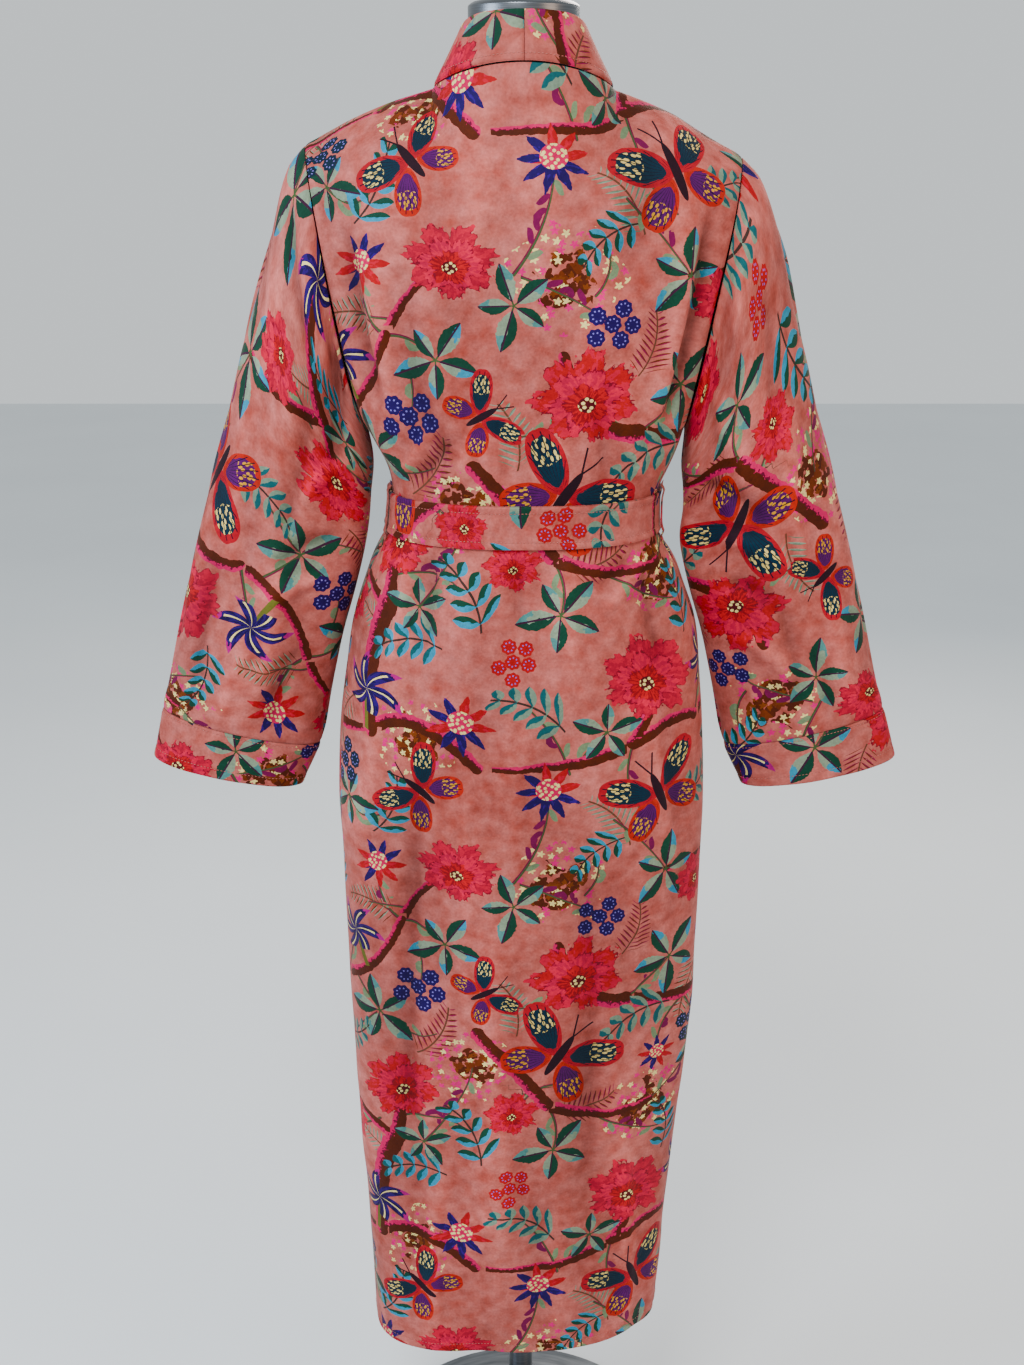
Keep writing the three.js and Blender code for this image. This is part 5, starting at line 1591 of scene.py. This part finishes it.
class ClothSettings(bpy.types.PropertyGroup):
    """The velvet and how it hangs."""

    dark: bpy.props.FloatVectorProperty(
        name="Ground, crushed", description="Dye where the pile lies flat", subtype="COLOR", size=4,
        default=linear("#A45850"))
    light: bpy.props.FloatVectorProperty(
        name="Ground, brushed", description="Dye where the pile stands up", subtype="COLOR", size=4,
        default=linear("#D38C86"))
    patch: bpy.props.FloatProperty(
        name="Nap patch", description="Size of the mottled patches of pile", default=0.015, min=0.002,
        unit="LENGTH")
    crease: bpy.props.FloatProperty(
        name="Crease height", description="How far the creases stand out, as a part of the drawn height",
        default=2.5, min=0.0, max=3.0, subtype="FACTOR")


class StitchSettings(bpy.types.PropertyGroup):
    """The machine stitching."""

    pitch: bpy.props.FloatProperty(
        name="Stitch pitch", description="From one stitch to the next", default=0.0034, min=0.001,
        unit="LENGTH")
    long: bpy.props.FloatProperty(
        name="Stitch length", description="Visible length of a stitch", default=0.0025, min=0.0005,
        unit="LENGTH")
    thick: bpy.props.FloatProperty(
        name="Thread", description="Width of the thread where it lies on the cloth", default=0.0009,
        min=0.0002, unit="LENGTH")


class StandSettings(bpy.types.PropertyGroup):
    """The metal parts of the dress form."""

    steel: bpy.props.FloatVectorProperty(
        name="Steel", description="Colour of the dark steel", subtype="COLOR", size=4,
        default=linear("#3A3C40"))
    polish: bpy.props.FloatProperty(
        name="Roughness", description="Least roughness of the brushed steel", default=0.2, min=0.0,
        max=1.0, subtype="FACTOR")


class ROBE_OT_body(bpy.types.Operator):
    """Cuts and hangs the back and both fronts, with their hem stitching"""
    bl_idname = "robe.body"
    bl_label = "Back and fronts"

    def execute(self, context):
        back = build_back()
        sew("back", back, CLOTH, (30, 60))
        stitch("stitches_hem_back", back, CLOTH, [("row", 7)])
        for name, side, cut in (("left", 1, (250, 190)), ("right", -1, (-170, 410))):
            front = build_front(side)
            sew(f"front_{name}", front, CLOTH, cut)
            stitch(f"stitches_hem_front_{name}", front, CLOTH, [("row", 7)])
        return {"FINISHED"}


class ROBE_OT_neckband(bpy.types.Operator):
    """Sews both halves of the band round the neck and down the front edges"""
    bl_idname = "robe.neckband"
    bl_label = "Neckband"

    def execute(self, context):
        for name, side, cut in (("left", 1, (0, 0)), ("right", -1, (120, 330))):
            band = build_neckband(side)
            sew(f"neckband_{name}", band, BAND, cut)
            stitch(f"stitches_neckband_{name}", band, BAND, [("column", 5), ("row", -8)])
        return {"FINISHED"}


class ROBE_OT_sleeves(bpy.types.Operator):
    """Hangs both sleeves from the armhole seams"""
    bl_idname = "robe.sleeves"
    bl_label = "Sleeves"

    def execute(self, context):
        for name, side, cut in (("left", 1, (140, -60)), ("right", -1, (-60, 230))):
            sew(f"sleeve_{name}", build_sleeve(side), CLOTH, cut)
        return {"FINISHED"}


class ROBE_OT_cuffs(bpy.types.Operator):
    """Sews the bands at the ends of the sleeves, with two rows of stitching"""
    bl_idname = "robe.cuffs"
    bl_label = "Cuffs"

    def execute(self, context):
        for name, side, cut in (("left", 1, (310, 300)), ("right", -1, (90, 520))):
            cuff = build_cuff(side)
            sew(f"cuff_{name}", cuff, BAND, cut)
            stitch(f"stitches_cuff_{name}", cuff, BAND, [("row", 3), ("row", -8)])
        return {"FINISHED"}


class ROBE_OT_belt(bpy.types.Operator):
    """Ties the belt round the waist, with its hanging ends"""
    bl_idname = "robe.belt"
    bl_label = "Belt"

    def execute(self, context):
        waist = build_belt()
        sew("belt_waist", waist, BAND, (0, 130), True)
        stitch("stitches_belt_waist", waist, BAND, [("row", 5), ("row", -6)])
        for name, x, spread, cut in (("left", 33, 14, (0, 40)), ("right", -15, -12, (300, 260))):
            tail = build_tail(x, spread)
            sew(f"belt_tail_{name}", tail, BAND, cut, True)
            stitch(f"stitches_belt_tail_{name}", tail, BAND, [("column", 5), ("column", -6), ("row", 5)])
        return {"FINISHED"}


class ROBE_OT_belt_knot(bpy.types.Operator):
    """Models the half knot in front"""
    bl_idname = "robe.belt_knot"
    bl_label = "Belt knot"

    def execute(self, context):
        keep(tied_knot(), finish(printed_velvet), "belt_knot")
        return {"FINISHED"}


class ROBE_OT_belt_loops(bpy.types.Operator):
    """Sews the narrow belt loops over the belt at the side seams"""
    bl_idname = "robe.belt_loops"
    bl_label = "Belt loops"

    def execute(self, context):
        for name, side, cut in (("left", 1, (20, 90)), ("right", -1, (210, 20))):
            sew(f"belt_loop_{name}", build_loop(side), LOOP, cut)
        return {"FINISHED"}


class ROBE_OT_torso(bpy.types.Operator):
    """Covers the body of the dress form in jersey"""
    bl_idname = "robe.torso"
    bl_label = "Dress form"

    def execute(self, context):
        keep(smoothed_copy("form_torso", "jersey_torso"), finish(charcoal_jersey), "form_torso")
        return {"FINISHED"}


class ROBE_OT_neck_cap(bpy.types.Operator):
    """Turns the metal cap of the neck"""
    bl_idname = "robe.neck_cap"
    bl_label = "Neck cap"

    def execute(self, context):
        keep(turned_part("steel_neck_cap", CAP_PROFILE, 96, 0.8), finish(brushed_steel), "form_neck_cap")
        return {"FINISHED"}


class ROBE_OT_pole(bpy.types.Operator):
    """Turns the pole and the collar that clamps it"""
    bl_idname = "robe.pole"
    bl_label = "Pole and collar"

    def execute(self, context):
        keep(turned_part("steel_pole", POLE_PROFILE, 48, 0.6), finish(brushed_steel), "form_pole")
        collar = turned_part("steel_pole_collar", COLLAR_PROFILE, 64, 0.8)
        keep(collar, finish(brushed_steel), "form_pole_collar")
        return {"FINISHED"}


class ROBE_OT_base(bpy.types.Operator):
    """Turns the round base"""
    bl_idname = "robe.base"
    bl_label = "Base"

    def execute(self, context):
        keep(turned_part("steel_base", BASE_PROFILE, 128, 1.2), finish(brushed_steel), "form_base")
        return {"FINISHED"}


class ROBE_OT_stage(bpy.types.Operator):
    """Sets the floor, the light and the camera"""
    bl_idname = "robe.stage"
    bl_label = "Stage"

    def execute(self, context):
        clear_selection()
        bpy.ops.mesh.primitive_plane_add(size=FLOOR_WIDE, location=(0, 0, 0))
        floor = context.object
        floor.name = "floor"
        floor.data.materials.append(finish(painted_floor))
        set_light(context.scene)
        set_camera(context.scene)
        return {"FINISHED"}


class ROBE_PT_panel(bpy.types.Panel):
    """The robe's settings and the steps that build it"""
    bl_label = "Velvet robe"
    bl_idname = "ROBE_PT_panel"
    bl_space_type = "VIEW_3D"
    bl_region_type = "UI"
    bl_category = "Robe"

    def draw(self, context):
        for group in SETTINGS:
            settings = getattr(context.scene, group)
            for name in type(settings).__annotations__:
                self.layout.prop(settings, name)
        for operator in OPERATORS:
            self.layout.operator(operator.bl_idname)


SETTINGS = {"robe_cloth": ClothSettings, "robe_stitches": StitchSettings, "robe_stand": StandSettings}
OPERATORS = (ROBE_OT_body, ROBE_OT_neckband, ROBE_OT_sleeves, ROBE_OT_cuffs, ROBE_OT_belt,
             ROBE_OT_belt_knot, ROBE_OT_belt_loops, ROBE_OT_torso, ROBE_OT_neck_cap, ROBE_OT_pole,
             ROBE_OT_base, ROBE_OT_stage)


def set_light(scene):
    """A soft room: even sky light, a cool window on the wearer's left and a warm one on the right."""
    world = bpy.data.worlds.new("soft room")
    world.use_nodes = True
    sky = world.node_tree.nodes["Background"]
    sky.inputs["Color"].default_value = linear("#E3E9EC")
    sky.inputs["Strength"].default_value = 1.0
    scene.world = world
    for name, at, target, wide, strength, colour in LAMPS:
        lamp = bpy.data.lights.new(name, "AREA")
        lamp.energy = strength
        lamp.color = linear(colour)[:3]
        lamp.size = wide
        obj = bpy.data.objects.new(name, lamp)
        obj.location = at
        obj.rotation_euler = (Vector(target) - Vector(at)).to_track_quat("-Z", "Y").to_euler()
        scene.collection.objects.link(obj)


def set_camera(scene):
    """The photographed view, from behind and a little above the belt."""
    camera = bpy.data.cameras.new("camera")
    camera.sensor_fit = "VERTICAL"
    camera.sensor_height = SENSOR
    camera.lens = FOCAL_PIXELS / FRAME_HIGH * SENSOR
    eye = bpy.data.objects.new("camera", camera)
    eye.location = CAMERA_AT
    eye.rotation_euler = (math.radians(90 - CAMERA_DOWN), 0, math.radians(180))
    scene.collection.objects.link(eye)
    scene.camera = eye


def register():
    for group in SETTINGS.values():
        bpy.utils.register_class(group)
    for name, group in SETTINGS.items():
        setattr(bpy.types.Scene, name, bpy.props.PointerProperty(type=group))
    for operator in OPERATORS:
        bpy.utils.register_class(operator)
    bpy.utils.register_class(ROBE_PT_panel)


def unregister():
    bpy.utils.unregister_class(ROBE_PT_panel)
    for operator in reversed(OPERATORS):
        bpy.utils.unregister_class(operator)
    for name in SETTINGS:
        delattr(bpy.types.Scene, name)
    for group in reversed(SETTINGS.values()):
        bpy.utils.unregister_class(group)


def main():
    register()
    bpy.ops.robe.body()
    bpy.ops.robe.neckband()
    bpy.ops.robe.sleeves()
    bpy.ops.robe.cuffs()
    bpy.ops.robe.belt()
    bpy.ops.robe.belt_knot()
    bpy.ops.robe.belt_loops()
    bpy.ops.robe.torso()
    bpy.ops.robe.neck_cap()
    bpy.ops.robe.pole()
    bpy.ops.robe.base()
    bpy.ops.robe.stage()


if __name__ == "__main__":
    main()
